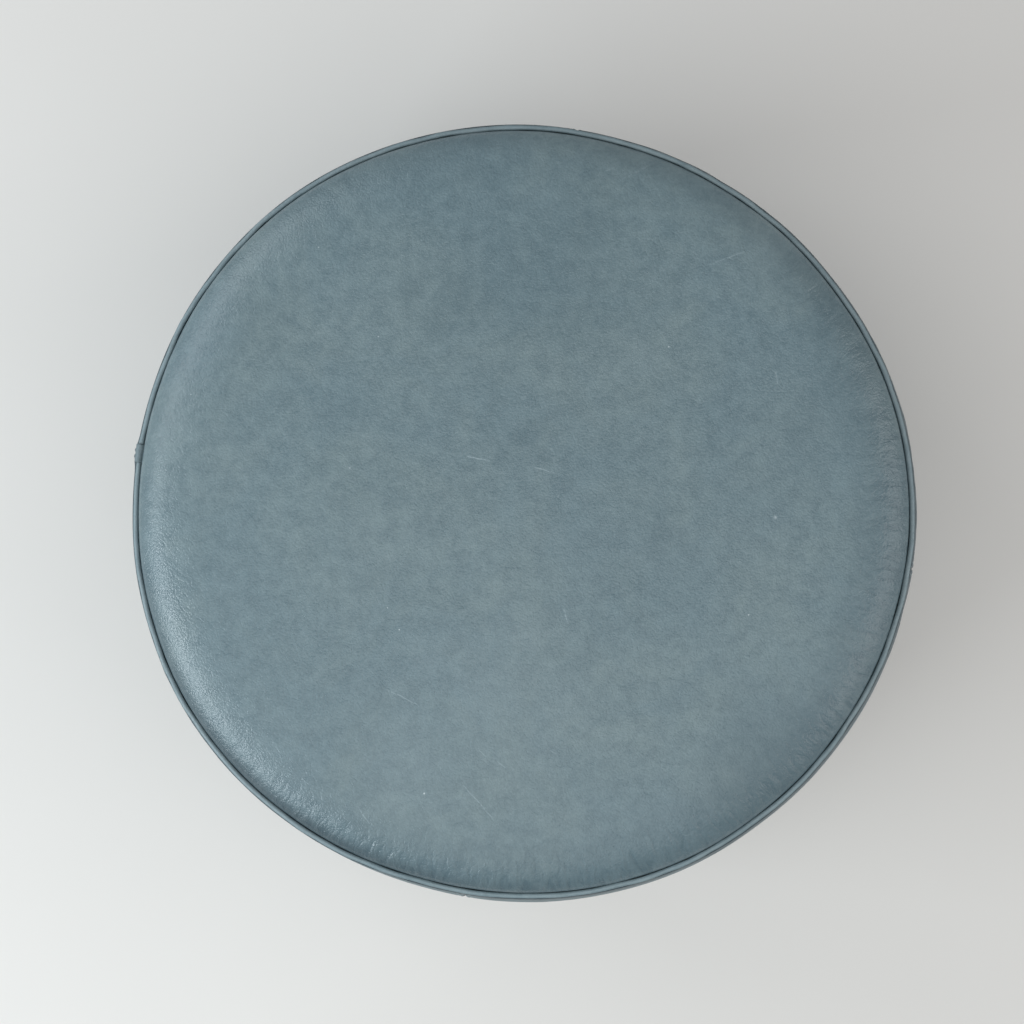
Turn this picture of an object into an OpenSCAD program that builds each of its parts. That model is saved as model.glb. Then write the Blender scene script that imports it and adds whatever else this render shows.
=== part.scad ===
// Round leather pouf: a firm, drum-shaped floor seat.
// The cover is a smooth one-piece top, four side panels and a base in two halves,
// with piping round both rims and a zip across the underside for the filling.
// Millimetres, +Z up. The pouf stands on z = 0 with its centre line on the Z axis.

/* [Overall size] */

// Width over the top piping
pouf_diameter = 450; // [360:1:600]
// Height from the floor to the middle of the top
pouf_height = 300; // [220:1:400]
// How far the side bulges out beyond the two rims
side_bulge = 16; // [8:1:26]

/* [Top] */

// Radius of the tight turn beside the top piping
edge_radius = 8; // [5:0.5:10]
// Radius of the rounded shoulder inside it
shoulder_radius = 40; // [30:1:60]
// Radius of the shallow turn from the shoulder to the flat of the top
crown_radius = 110; // [80:5:160]
// Slope of the leather where the tight turn ends, in degrees
edge_slope = 40; // [30:1:50]
// Slope of the leather where the shoulder ends, in degrees
shoulder_slope = 15; // [10:1:20]
// Slope of the leather where the crown starts, in degrees
crown_slope = 4; // [2:0.5:6]

/* [Leather] */

// Thickness of the cover leather
leather = 1.3; // [1:0.1:1.6]
// Depth of the edges turned into each seam
seam_allowance = 10; // [7:0.5:13]
// Gap between two sewn pieces
seam_gap = 0.1; // [0.1:0.05:0.2]
// Turn of the first side seam from +X, in degrees
seam_turn = 171.5; // [0:0.5:360]
// Number of side panels
side_panels = 4; // [4:1:4]

/* [Piping] */

// Outside diameter of the piping
piping_diameter = 3.2; // [3:0.1:5]
// Thickness of the leather wrapped round the piping cord
piping_leather = 0.7; // [0.6:0.1:1]
// Height of the bottom piping's centre over the floor
bottom_piping_height = 3.7; // [3.4:0.1:6]
// Length of the leather sleeve over the piping's ends
sleeve_length = 11; // [8:0.5:16]

/* [Stitching] */

// Distance of each topstitch row from its side seam
stitch_inset = 3.5; // [2.5:0.5:5]
// Thickness of the sewing thread
thread = 0.6; // [0.4:0.1:0.8]
// Width of the tape behind each side seam
seam_tape_width = 24; // [18:1:30]

/* [Zip] */

// Length between the zip's stops
zip_length = 300; // [240:2:320]
// Width of the slot in the base leather
zip_slot = 11.2; // [11:0.2:13]
// Height of the recess that keeps the zip off the floor
zip_recess = 5; // [5:0.25:7]
// Width of each zip tape
zip_tape_width = 15; // [12:0.5:18]
// Thickness of each zip tape
zip_tape_thickness = 0.6; // [0.4:0.1:0.8]
// Distance between two teeth on one tape
tooth_pitch = 2.6; // [2.4:0.1:3]
// Length of the slider
slider_length = 12; // [11:0.5:14]
// Length of the pull from its pin
pull_length = 26; // [20:1:32]
// Width of the pull
pull_width = 7; // [6:0.5:8]

/* [Filling] */

// Thickness of the inner bag's cloth
liner = 0.6; // [0.4:0.1:0.8]
// Thickness of the wadding
wadding = 12; // [8:1:16]
// Thickness of the firm foam base
base_foam = 58; // [40:1:70]
// Height at which the soft foam topper starts, below the top piping
topper_drop = 36; // [30:1:50]

/* [Hidden] */

$fn = 96;
steps = 32;

leather_colour = [0.45, 0.53, 0.56];
leather_dark = [0.36, 0.43, 0.46];
thread_colour = [0.52, 0.58, 0.6];
cloth_colour = [0.86, 0.82, 0.74];
foam_colour = [0.93, 0.88, 0.7];
tape_colour = [0.2, 0.22, 0.24];
brass_colour = [0.62, 0.5, 0.3];

// Rim: the piping tube, and the four edges stacked below it.
piping_r = piping_diameter / 2;
cord_r = piping_r - piping_leather - 0.05;
rim_r = pouf_diameter / 2 - piping_r;
flange_out = rim_r - max(0.3, piping_r - 2 * piping_leather);
flange_in = flange_out - 2 * piping_leather;
panel_out = flange_in - seam_gap;
panel_in = panel_out - leather;
fold_in = flange_out + seam_gap;
fold_r = leather + seam_gap / 2;
fold_mid = fold_in + fold_r;
side_r = fold_mid + fold_r;
fold_drop = sqrt(pow(piping_r + fold_r + seam_gap / 2, 2) - pow(fold_mid - rim_r, 2));

// Top: four arcs, each starting at the slope where the last one ends.
run_1 = edge_radius * (1 - sin(edge_slope));
run_2 = shoulder_radius * (sin(edge_slope) - sin(shoulder_slope));
run_3 = crown_radius * (sin(shoulder_slope) - sin(crown_slope));
run_4 = panel_out - run_1 - run_2 - run_3;
top_radius = run_4 / sin(crown_slope);
rise_1 = edge_radius * cos(edge_slope);
rise_2 = shoulder_radius * (cos(shoulder_slope) - cos(edge_slope));
rise_3 = crown_radius * (cos(crown_slope) - cos(shoulder_slope));
rise_4 = top_radius * (1 - cos(crown_slope));
top_rim_z = pouf_height - rise_1 - rise_2 - rise_3 - rise_4;

// Side: one arc from the top fold to the bottom fold.
fold_top_z = top_rim_z - fold_drop;
fold_low_z = bottom_piping_height + fold_drop;
side_mid_z = (fold_top_z + fold_low_z) / 2;
side_chord = fold_top_z - fold_low_z;
side_arc = side_chord * side_chord / (8 * side_bulge) + side_bulge / 2;
side_centre = side_r + side_bulge - side_arc;

// Base: flat on the floor, turned up beside the bottom piping.
base_turn = 6;

// Zip, from the floor up.
recess_flat = 12;
recess_foot = 30;
recess_end = zip_length / 2 + 20;
recess_reach = recess_end + 22;
tape_z = zip_recess + leather + 0.1;
zip_mid_z = tape_z + zip_tape_thickness / 2;
tape_edge = 0.9;
tape_half = zip_length / 2 + 15;
tooth_height = 2.4;
tooth_width = 1.1;
tooth_back = 3;
tooth_reach = tape_edge - 0.1;
slider_front = zip_length / 2 + 2;
slider_back = slider_front - slider_length;
neck_front = slider_front - 0.5;
neck_back = neck_front - 2;
teeth_end = neck_back - 0.4;
stop_gap = 0.5;
zip_travel = slider_back + zip_length / 2 - 3;
slider_half = 4.9;
plate_gap = 0.3;
plate = 1.2;
plate_low = zip_mid_z - tooth_height / 2 - plate_gap;
plate_high = zip_mid_z + tooth_height / 2 + plate_gap;
pin_x = neck_back - 3;
pin_z = plate_low - plate - 1.7;
pin_r = 0.68;
pin_clearance = 0.06;
pull_plate = 1.2;

// Inner bag and filling.
bag_gap = 0.3;
bag_r = panel_in - bag_gap;
bag_depth = 2 * leather + 0.6;
bag_foot = leather + bag_gap;
bag_turn_low = fold_low_z + seam_allowance + 0.6;
bag_turn_high = fold_top_z - seam_allowance - 0.6;
bag_step = 5;
bag_recess_top = plate_high + 1 + 0.4;
cloth_gap = 0.15;
filling = liner + cloth_gap;
foam_gap = 0.3;
foam_low_top = bag_foot + filling + base_foam;
topper_foot = top_rim_z - topper_drop;
foam_inset = bag_depth + filling + wadding + foam_gap;

// Points on an arc in a section, from angle a to angle b.
function arc(x, z, r, a, b, n) = [
    for (i = [0 : n]) let (t = a + (b - a) * i / n) [x + r * cos(t), z + r * sin(t)]
];

// The side's line, inset by d, from height z1 to height z2.
function side_line(d, z1, z2) = let (
    r = side_arc - d,
    a = asin((z1 - side_mid_z) / r),
    b = asin((z2 - side_mid_z) / r)
) arc(side_centre, side_mid_z, r, a, b, steps);

// The top's line, inset by d, from the rim to the middle.
function top_line(d) = let (
    x1 = panel_out - edge_radius,
    x2 = panel_out - run_1 - shoulder_radius * sin(edge_slope),
    x3 = panel_out - run_1 - run_2 - crown_radius * sin(shoulder_slope),
    z2 = top_rim_z + rise_1 - shoulder_radius * cos(edge_slope),
    z3 = top_rim_z + rise_1 + rise_2 - crown_radius * cos(shoulder_slope),
    z4 = pouf_height - top_radius
) concat(
    arc(x1, top_rim_z, edge_radius - d, 0, 90 - edge_slope, 6),
    arc(x2, z2, shoulder_radius - d, 90 - edge_slope + 4, 90 - shoulder_slope, 6),
    arc(x3, z3, crown_radius - d, 90 - shoulder_slope + 2, 90 - crown_slope, 6),
    arc(0, z4, top_radius - d, 90 - crown_slope * 0.8, 90, 6)
);

// The line of the top over the filling, inset by d, without its tight turn.
function crown_line(d) = let (
    x2 = panel_out - run_1 - shoulder_radius * sin(edge_slope),
    x3 = panel_out - run_1 - run_2 - crown_radius * sin(shoulder_slope),
    z2 = top_rim_z + rise_1 - shoulder_radius * cos(edge_slope),
    z3 = top_rim_z + rise_1 + rise_2 - crown_radius * cos(shoulder_slope),
    z4 = pouf_height - top_radius
) concat(
    arc(x2, z2, shoulder_radius - d, 90 - edge_slope, 90 - shoulder_slope, 6),
    arc(x3, z3, crown_radius - d, 90 - shoulder_slope + 2, 90 - crown_slope, 6),
    arc(0, z4, top_radius - d, 90 - crown_slope * 0.8, 90, 6)
);

function reversed(list) = [for (i = [len(list) - 1 : -1 : 0]) list[i]];

// Half the angle that a width takes up round the side.
function half_angle(width) = width / 2 / side_r * 180 / PI;

// A band between two insets of the side's line.
module side_band(outer, inner, z1, z2) {
    polygon(concat(side_line(outer, z1, z2), reversed(side_line(inner, z1, z2))));
}

// A low roof shape: it cuts the zip's recess, and fills what the recess lifts.
module recess(extra_foot, extra_flat, low, high) {
    foot = recess_foot + extra_foot;
    flat_half = recess_flat + extra_flat;
    far = recess_reach + extra_foot;
    end = recess_end + extra_flat;
    spread = (foot - flat_half) / (high - low);
    below = 1;
    intersection() {
        rotate([90, 0, 90])
            linear_extrude(height = 2 * far + 8, center = true)
                polygon([
                    [-foot - spread * below, low - below], [foot + spread * below, low - below],
                    [flat_half, high], [-flat_half, high]
                ]);
        rotate([90, 0, 0])
            linear_extrude(height = 2 * foot + 40, center = true)
                polygon([
                    [-far - below * (far - end) / (high - low), low - below],
                    [far + below * (far - end) / (high - low), low - below],
                    [end, high], [-end, high]
                ]);
    }
}

// ---- Top ----

module top_panel() {
    color(leather_colour)
        rotate_extrude()
            polygon(concat(
                [[panel_in, fold_top_z - seam_allowance], [panel_out, fold_top_z - seam_allowance]],
                top_line(0),
                reversed(top_line(leather))
            ));
}

// A wrapped cord with its sewing edge; the edge points down at the top rim.
module piping_section(side) {
    difference() {
        union() {
            circle(r = piping_r);
            translate([flange_in - rim_r, side > 0 ? -fold_drop - seam_allowance : 0])
                square([2 * piping_leather, fold_drop + seam_allowance]);
        }
        circle(r = piping_r - piping_leather);
    }
}

module piping_cover(z, side) {
    color(leather_colour)
        translate([0, 0, z])
            rotate([0, 0, seam_turn + 0.03])
                rotate_extrude(angle = 359.94)
                    translate([rim_r, 0])
                        piping_section(side);
}

module piping_cord(z) {
    color(cloth_colour)
        translate([0, 0, z])
            rotate_extrude()
                translate([rim_r, 0])
                    circle(r = cord_r);
}

// A strip folded over the piping where its two ends meet.
module piping_sleeve(z, side) {
    turn = sleeve_length / rim_r * 180 / PI;
    inner = piping_r + 0.05;
    outer = inner + piping_leather;
    color(leather_colour)
        translate([0, 0, z])
            rotate([0, 0, seam_turn - turn / 2])
                rotate_extrude(angle = turn)
                    translate([rim_r, 0])
                        mirror([0, side > 0 ? 0 : 1])
                            polygon(concat(
                                arc(0, 0, outer, -28, 125, 24),
                                reversed(arc(0, 0, inner, -28, 125, 24))
                            ));
}

module top_piping_cover() {
    piping_cover(top_rim_z, 1);
}

module top_piping_cord() {
    piping_cord(top_rim_z);
}

module top_piping_sleeve() {
    piping_sleeve(top_rim_z, 1);
}

// ---- Side ----

// The panel's section: outer face, both folds and the edges turned in behind the piping.
module side_section() {
    slit = seam_gap / 2;
    fold_out = fold_mid - slit;
    inner_line = [
        for (p = side_line(leather, fold_low_z, fold_top_z)) [max(p[0], fold_mid + slit), p[1]]
    ];
    polygon(concat(
        [[fold_in, fold_top_z - seam_allowance]],
        arc(fold_mid, fold_top_z, fold_r, 180, 0, 12),
        reversed(side_line(0, fold_low_z + 0.01, fold_top_z - 0.01)),
        arc(fold_mid, fold_low_z, fold_r, 0, -180, 12),
        [[fold_in, fold_low_z + seam_allowance], [fold_out, fold_low_z + seam_allowance]],
        [[fold_out, fold_low_z], [fold_mid, fold_low_z - slit]],
        inner_line,
        [[fold_mid, fold_top_z + slit], [fold_out, fold_top_z]],
        [[fold_out, fold_top_z - seam_allowance]]
    ));
}

module side_panel(number) {
    start = seam_turn + 90 * number + half_angle(seam_gap);
    turn = 90 - 2 * half_angle(seam_gap);
    turned_in = 2 * half_angle(seam_allowance - 1);
    low = fold_low_z + seam_allowance + 2;
    high = fold_top_z - seam_allowance - 2;
    color(leather_colour)
        rotate([0, 0, start])
            union() {
                rotate_extrude(angle = turn)
                    side_section();
                rotate_extrude(angle = turned_in)
                    side_band(leather - 0.2, 2 * leather, low, high);
                rotate([0, 0, turn - turned_in])
                    rotate_extrude(angle = turned_in)
                        side_band(leather - 0.2, 2 * leather, low, high);
            }
}

module side_panel_front_left() {
    side_panel(0);
}

module side_panel_front_right() {
    side_panel(1);
}

module side_panel_back_right() {
    side_panel(2);
}

module side_panel_back_left() {
    side_panel(3);
}

module side_seam_tape(number) {
    half = half_angle(seam_tape_width);
    color(cloth_colour)
        rotate([0, 0, seam_turn + 90 * (number - 1) - half])
            rotate_extrude(angle = 2 * half)
                side_band(
                    2 * leather + 0.08, 2 * leather + 0.45,
                    fold_low_z + seam_allowance + 2, fold_top_z - seam_allowance - 2
                );
}

module side_seam_tape_1() {
    side_seam_tape(1);
}

module side_seam_tape_2() {
    side_seam_tape(2);
}

module side_seam_tape_3() {
    side_seam_tape(3);
}

module side_seam_tape_4() {
    side_seam_tape(4);
}

// Two rows of thread along each side seam, standing just proud of the leather.
module side_stitching() {
    turn = 2 * half_angle(thread);
    color(thread_colour)
        for (number = [0 : side_panels - 1])
            for (row = [-1, 1])
                rotate([0, 0, seam_turn + 90 * number + row * 2 * half_angle(stitch_inset) - turn / 2])
                    rotate_extrude(angle = turn)
                        side_band(-0.05 - thread / 2, -0.05, fold_low_z + 3, fold_top_z - 3);
}

// ---- Base ----

module base_section() {
    top = fold_low_z + seam_allowance;
    polygon(concat(
        [[0, 0]],
        arc(panel_out - base_turn, base_turn, base_turn, -90, 0, 10),
        [[panel_out, top], [panel_in, top]],
        reversed(arc(panel_out - base_turn, base_turn, base_turn - leather, -90, 0, 10)),
        [[0, leather]]
    ));
}

// One half of the base, raised round the zip so that nothing of it meets the floor.
module base_half(side) {
    reach = pouf_diameter;
    color(leather_colour)
        difference() {
            union() {
                rotate_extrude()
                    base_section();
                intersection() {
                    translate([0, 0, leather])
                        recess(0, 0, 0, zip_recess);
                    translate([-reach, -reach, leather / 2])
                        cube([2 * reach, 2 * reach, zip_recess + leather]);
                }
            }
            recess(0, 0, 0, zip_recess);
            translate([-tape_half + 3, -zip_slot / 2, -1])
                cube([2 * tape_half - 6, zip_slot, zip_recess + 2 * leather + 2]);
            translate([-reach, side > 0 ? -reach + seam_gap / 2 : -seam_gap / 2, -1])
                cube([2 * reach, reach, fold_low_z + seam_allowance + 4]);
        }
}

module base_panel_front() {
    base_half(-1);
}

module base_panel_back() {
    base_half(1);
}

module bottom_piping_cover() {
    piping_cover(bottom_piping_height, -1);
}

module bottom_piping_cord() {
    piping_cord(bottom_piping_height);
}

module bottom_piping_sleeve() {
    piping_sleeve(bottom_piping_height, -1);
}

// ---- Zip ----

module zip_tape(side) {
    color(tape_colour)
        mirror([0, side > 0 ? 0 : 1, 0])
            translate([-tape_half, tape_edge, tape_z])
                cube([2 * tape_half, zip_tape_width, zip_tape_thickness]);
}

module zip_tape_front() {
    zip_tape(-1);
}

module zip_tape_back() {
    zip_tape(1);
}

// One tooth, clamped over the edge of its tape.
module tooth() {
    grip = 0.05;
    difference() {
        translate([-tooth_width / 2, -tooth_reach, zip_mid_z - tooth_height / 2])
            cube([tooth_width, tooth_reach + tooth_back, tooth_height]);
        translate([-tooth_width, tape_edge - grip, tape_z - grip])
            cube([2 * tooth_width, tooth_back + 1, zip_tape_thickness + 2 * grip]);
    }
}

module zip_teeth(side) {
    first = -zip_length / 2 + 5 + (side > 0 ? tooth_pitch / 2 : 0);
    count = floor((teeth_end - tooth_width - first) / tooth_pitch);
    color(brass_colour)
        for (i = [0 : count])
            translate([first + i * tooth_pitch, 0, 0])
                mirror([0, side > 0 ? 0 : 1, 0])
                    tooth();
}

module zip_teeth_front() {
    zip_teeth(-1);
}

module zip_teeth_back() {
    zip_teeth(1);
}

// A metal clip crimped over a tape's edge.
module zip_clip(x, length, near_y, far_y) {
    grip = 0.05;
    difference() {
        translate([x, near_y, zip_mid_z - tooth_height / 2])
            cube([length, far_y - near_y, tooth_height]);
        translate([x - 1, tape_edge - grip, tape_z - grip])
            cube([length + 2, far_y, zip_tape_thickness + 2 * grip]);
    }
}

module zip_top_stops() {
    color(brass_colour)
        for (side = [0, 1])
            mirror([0, side, 0])
                zip_clip(slider_front + stop_gap, 3, tape_edge - 0.6, tooth_back);
}

module zip_bottom_stop() {
    color(brass_colour)
        for (side = [0, 1])
            mirror([0, side, 0])
                zip_clip(-zip_length / 2 - 1.5, 4, -0.05, tooth_back);
}

// A frame of thread round the zip slot, standing just proud of the leather.
module zip_stitching() {
    half_w = zip_slot / 2 + 2.6;
    half_l = tape_half - 1;
    color(thread_colour)
        translate([0, 0, zip_recess - 0.05 - thread / 2])
            difference() {
                translate([-half_l, -half_w, 0])
                    cube([2 * half_l, 2 * half_w, thread / 2]);
                translate([-half_l + thread, -half_w + thread, -1])
                    cube([2 * (half_l - thread), 2 * (half_w - thread), 2]);
                translate([-half_l - 1, -seam_gap / 2, -1])
                    cube([2 * half_l + 2, seam_gap, 2]);
            }
}

module zip_slider() {
    rim = plate_gap + tooth_height / 2 - zip_tape_thickness / 2 - 0.3;
    lug_w = 2.2;
    color(brass_colour)
        difference() {
            union() {
                // Lower plate with its rims
                translate([slider_back, -slider_half, plate_low - plate])
                    cube([slider_length, 2 * slider_half, plate]);
                for (s = [0, 1])
                    mirror([0, s, 0])
                        translate([slider_back, tooth_back + 0.5, plate_low - 0.1])
                            cube([slider_length, slider_half - tooth_back - 0.5, rim + 0.1]);
                // Upper plate with its rims
                translate([slider_back, -slider_half, plate_high])
                    cube([slider_length, 2 * slider_half, 1]);
                for (s = [0, 1])
                    mirror([0, s, 0])
                        translate([slider_back, tooth_back + 0.5, plate_high - rim])
                            cube([slider_length, slider_half - tooth_back - 0.5, rim + 0.1]);
                // Neck between the plates
                translate([neck_back, -tape_edge + 0.3, plate_low - 0.2])
                    cube([neck_front - neck_back, 2 * (tape_edge - 0.3), plate_high - plate_low + 0.4]);
                // Lug that carries the pull
                translate([pin_x, lug_w / 2, pin_z])
                    rotate([90, 0, 0])
                        cylinder(r = 1.5, h = lug_w);
                translate([pin_x - 1.5, -lug_w / 2, pin_z])
                    cube([3, lug_w, plate_low - plate - pin_z + 0.2]);
            }
            translate([pin_x, lug_w, pin_z])
                rotate([90, 0, 0])
                    cylinder(r = pin_r + pin_clearance, h = 2 * lug_w);
        }
}

// Tab with a fork at one end and a pin across the fork.
module zip_pull() {
    slot_w = 2.8;
    color(brass_colour)
        union() {
            difference() {
                translate([pin_x - pull_length, -pull_width / 2, pin_z - pull_plate / 2])
                    cube([pull_length, pull_width, pull_plate]);
                translate([pin_x - 2.6, -slot_w / 2, pin_z - pull_plate])
                    cube([4, slot_w, 2 * pull_plate]);
            }
            for (s = [0, 1])
                mirror([0, s, 0])
                    translate([pin_x, pull_width / 2, pin_z])
                        rotate([90, 0, 0])
                            cylinder(r = 1.15, h = (pull_width - slot_w) / 2);
            translate([pin_x, slot_w / 2 + 0.2, pin_z])
                rotate([90, 0, 0])
                    cylinder(r = pin_r, h = slot_w + 0.4);
        }
}

// ---- Inner bag and filling ----

// The bag's outline, inset by d.
module bag_outline(d) {
    polygon(concat(
        [[0, bag_foot + d]],
        arc(bag_r - 5, bag_foot + 5, 5 - d, -90, 0, 8),
        [[bag_r - d, bag_turn_low + d]],
        side_line(bag_depth + d, bag_turn_low + bag_step + d, bag_turn_high - bag_step - d),
        [[bag_r - d, bag_turn_high - d]],
        [for (p = top_line(leather + bag_gap + d)) [min(p[0], bag_r - d), p[1]]]
    ));
}

module bag_band(low, high) {
    intersection() {
        difference() {
            bag_outline(0);
            bag_outline(liner);
        }
        translate([0, low])
            square([pouf_diameter, high - low]);
    }
}

module liner_top() {
    color(cloth_colour)
        rotate_extrude()
            bag_band(bag_turn_high + 1, pouf_height);
}

module liner_side() {
    color(cloth_colour)
        rotate_extrude()
            bag_band(bag_turn_low - 1 + seam_gap, bag_turn_high + 1 - seam_gap);
}

module liner_base() {
    lift = bag_recess_top - bag_foot;
    color(cloth_colour)
        difference() {
            union() {
                rotate_extrude()
                    bag_band(0, bag_turn_low - 1);
                intersection() {
                    translate([0, 0, bag_foot + liner])
                        recess(6, 2, 0, lift);
                    translate([-pouf_diameter, -pouf_diameter, bag_foot + liner / 2])
                        cube([2 * pouf_diameter, 2 * pouf_diameter, lift + liner]);
                }
            }
            translate([0, 0, bag_foot])
                recess(6, 2, 0, lift);
        }
}

module top_wadding() {
    depth = leather + bag_gap + filling;
    edge = crown_line(depth)[0][0];
    color(cloth_colour)
        rotate_extrude()
            polygon(concat(
                [[edge, crown_line(depth)[0][1] - wadding / 2]],
                crown_line(depth),
                reversed(crown_line(depth + wadding))
            ));
}

module side_wadding() {
    low = bag_turn_low + bag_step + 3;
    high = bag_turn_high - bag_step - 3;
    color(cloth_colour)
        rotate_extrude()
            side_band(bag_depth + filling, bag_depth + filling + wadding, low, high);
}

module foam_topper() {
    depth = leather + bag_gap + filling + wadding + foam_gap;
    edge = crown_line(depth)[0][0];
    color(foam_colour)
        rotate_extrude()
            polygon(concat(
                [[0, topper_foot], [edge, topper_foot]],
                crown_line(depth)
            ));
}

module foam_core() {
    color(foam_colour)
        rotate_extrude()
            polygon(concat(
                [[0, foam_low_top + foam_gap]],
                side_line(foam_inset, foam_low_top + foam_gap, topper_foot - foam_gap),
                [[0, topper_foot - foam_gap]]
            ));
}

module foam_base() {
    low = bag_foot + filling;
    lift = bag_recess_top + filling;
    edge = bag_r - wadding - 4;
    color(foam_colour)
        difference() {
            rotate_extrude()
                polygon([[0, low], [edge - 6, low], [edge, low + 6], [edge, foam_low_top], [0, foam_low_top]]);
            translate([0, 0, low])
                recess(7.5, 3.5, 0, lift - low);
        }
}

top_panel();
top_piping_cover();
top_piping_cord();
top_piping_sleeve();
side_panel_front_left();
side_panel_front_right();
side_panel_back_right();
side_panel_back_left();
side_seam_tape_1();
side_seam_tape_2();
side_seam_tape_3();
side_seam_tape_4();
side_stitching();
base_panel_front();
base_panel_back();
bottom_piping_cover();
bottom_piping_cord();
bottom_piping_sleeve();
zip_tape_front();
zip_tape_back();
zip_teeth_front();
zip_teeth_back();
zip_top_stops();
zip_bottom_stop();
zip_stitching();
zip_slider();
zip_pull();
liner_top();
liner_side();
liner_base();
top_wadding();
side_wadding();
foam_topper();
foam_core();
foam_base();
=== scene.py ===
"""A round leather pouf: its cover, zip and filling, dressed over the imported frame."""
import math

import bpy
import numpy as np
from mathutils import Matrix, Vector


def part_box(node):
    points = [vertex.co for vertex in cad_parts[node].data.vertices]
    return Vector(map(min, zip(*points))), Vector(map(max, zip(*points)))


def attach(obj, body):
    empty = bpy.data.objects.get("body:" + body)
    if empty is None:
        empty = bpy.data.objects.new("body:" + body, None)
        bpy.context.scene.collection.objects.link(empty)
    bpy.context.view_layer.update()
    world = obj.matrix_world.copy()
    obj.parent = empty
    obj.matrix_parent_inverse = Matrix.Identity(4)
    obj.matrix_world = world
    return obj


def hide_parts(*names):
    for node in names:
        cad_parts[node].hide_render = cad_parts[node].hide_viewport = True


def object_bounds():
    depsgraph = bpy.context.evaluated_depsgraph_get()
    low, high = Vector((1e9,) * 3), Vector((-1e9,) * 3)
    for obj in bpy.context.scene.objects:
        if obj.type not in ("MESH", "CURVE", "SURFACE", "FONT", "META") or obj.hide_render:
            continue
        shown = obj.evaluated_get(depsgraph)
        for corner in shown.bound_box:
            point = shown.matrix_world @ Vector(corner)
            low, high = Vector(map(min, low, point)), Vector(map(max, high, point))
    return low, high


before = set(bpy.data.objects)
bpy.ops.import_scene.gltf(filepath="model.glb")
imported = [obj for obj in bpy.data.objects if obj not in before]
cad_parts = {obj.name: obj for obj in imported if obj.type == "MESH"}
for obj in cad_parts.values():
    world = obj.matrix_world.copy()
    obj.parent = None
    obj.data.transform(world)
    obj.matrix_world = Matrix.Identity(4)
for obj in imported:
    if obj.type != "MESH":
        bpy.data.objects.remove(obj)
frame_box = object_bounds()
MM = 0.001

# ---------------------------------------------------------------- sizes taken from the frame

floor_low, pouf_high = frame_box
cord_low, cord_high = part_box("top_piping_cord")
cord_r = (cord_high.z - cord_low.z) / 2
RIM_R = (cord_high.x - cord_low.x) / 2 - cord_r
RIM_Z = (cord_high.z + cord_low.z) / 2
foot_cord_low, foot_cord_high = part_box("bottom_piping_cord")
FOOT_Z = (foot_cord_high.z + foot_cord_low.z) / 2
TOP_Z = pouf_high.z
PIPING_R = cord_r + 0.75 * MM
SEAM_TURN = math.radians(171.5)

LEATHER = 1.3 * MM
PANEL_OUT = RIM_R - 1.8 * MM
FOLD_MID = RIM_R + 1.15 * MM
FOLD_R = 1.35 * MM
SIDE_R = FOLD_MID + FOLD_R
FOLD_DROP = math.sqrt((PIPING_R + FOLD_R + 0.05 * MM) ** 2 - (FOLD_MID - RIM_R) ** 2)
FOLD_TOP = RIM_Z - FOLD_DROP
FOLD_LOW = FOOT_Z + FOLD_DROP
BULGE = (pouf_high.x - floor_low.x) / 2 - SIDE_R

# How the cover is sewn: stitches in from a seam, its rolled edge, and how much of the top's
# out of round reaches the foot.
STITCH_IN = 3.5 * MM
ROLL = 1.9 * MM
SLEEVE_HALF = 5.5 * MM
TAPE_HALF = 12 * MM
FOOT_SHARE = 0.35
TOP_SEED = 71
FOOT_SEED = 81

# The most that settled leather may move, and how long it settles.
LOOSEST = 2.2 * MM
SETTLING_STEPS = 24


# ---------------------------------------------------------------- hand unevenness


def lattice(x, y, z, seed):
    """A repeatable number from -1 to 1 for each whole-number place."""
    h = x.astype(np.uint32) * np.uint32(73856093)
    h ^= y.astype(np.uint32) * np.uint32(19349663)
    h ^= z.astype(np.uint32) * np.uint32(83492791)
    h ^= np.uint32(seed * 2654435 % 4294967295)
    h ^= h >> np.uint32(13)
    h *= np.uint32(1274126177)
    h ^= h >> np.uint32(16)
    return (h & np.uint32(0xFFFFFF)).astype(float) / 0x7FFFFF - 1


def lumps(places, size, seed):
    """Smooth unevenness of about the given size, from -1 to 1, at each place."""
    p = np.asarray(places, float) / size + 1000
    low = np.floor(p).astype(np.int64)
    f = p - low
    f = f * f * (3 - 2 * f)
    total = np.zeros(p.shape[:-1])
    for corner in range(8):
        step = np.array([corner & 1, corner >> 1 & 1, corner >> 2 & 1])
        c = low + step
        share = np.prod(np.where(step == 1, f, 1 - f), axis=-1)
        total += share * lattice(c[..., 0], c[..., 1], c[..., 2], seed)
    return total


def wander(turn, slowest, fastest, seed):
    """Unevenness that runs once round the pouf and meets itself, of about unit size."""
    chance = np.random.default_rng(seed)
    waves = np.arange(slowest, fastest + 1)
    phase = chance.uniform(0, 2 * math.pi, len(waves))
    weight = chance.uniform(0.4, 1.0, len(waves))
    total = np.zeros(np.shape(turn))
    for k, p, w in zip(waves, phase, weight):
        total = total + w * np.cos(k * turn + p)
    return total / math.sqrt((weight**2).sum() / 2)


def out_of_round(turn):
    """How far the stuffed rim stands out from a true circle, as the hand-filled one does."""
    shape = ((1, 0.6, 65), (2, 1.5, 33), (3, 0.65, 20), (4, 0.55, -110), (5, 0.35, 5))
    total = np.zeros(np.shape(turn))
    for k, size, phase in shape:
        total = total + size * MM * np.cos(k * turn + math.radians(phase))
    return total + 0.10 * MM * wander(turn, 8, 20, 5)


def ease(x, low, high):
    """A smooth rise from 0 at low to 1 at high."""
    t = np.clip((np.asarray(x, float) - low) / (high - low), 0, 1)
    return t * t * (3 - 2 * t)


def bell(x, width):
    """A smooth hump of height 1 at 0."""
    return np.exp(-((x / width) ** 2))


def full_turn(count):
    """Evenly spaced turns, once round."""
    return np.arange(count) * 2 * math.pi / count


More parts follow.
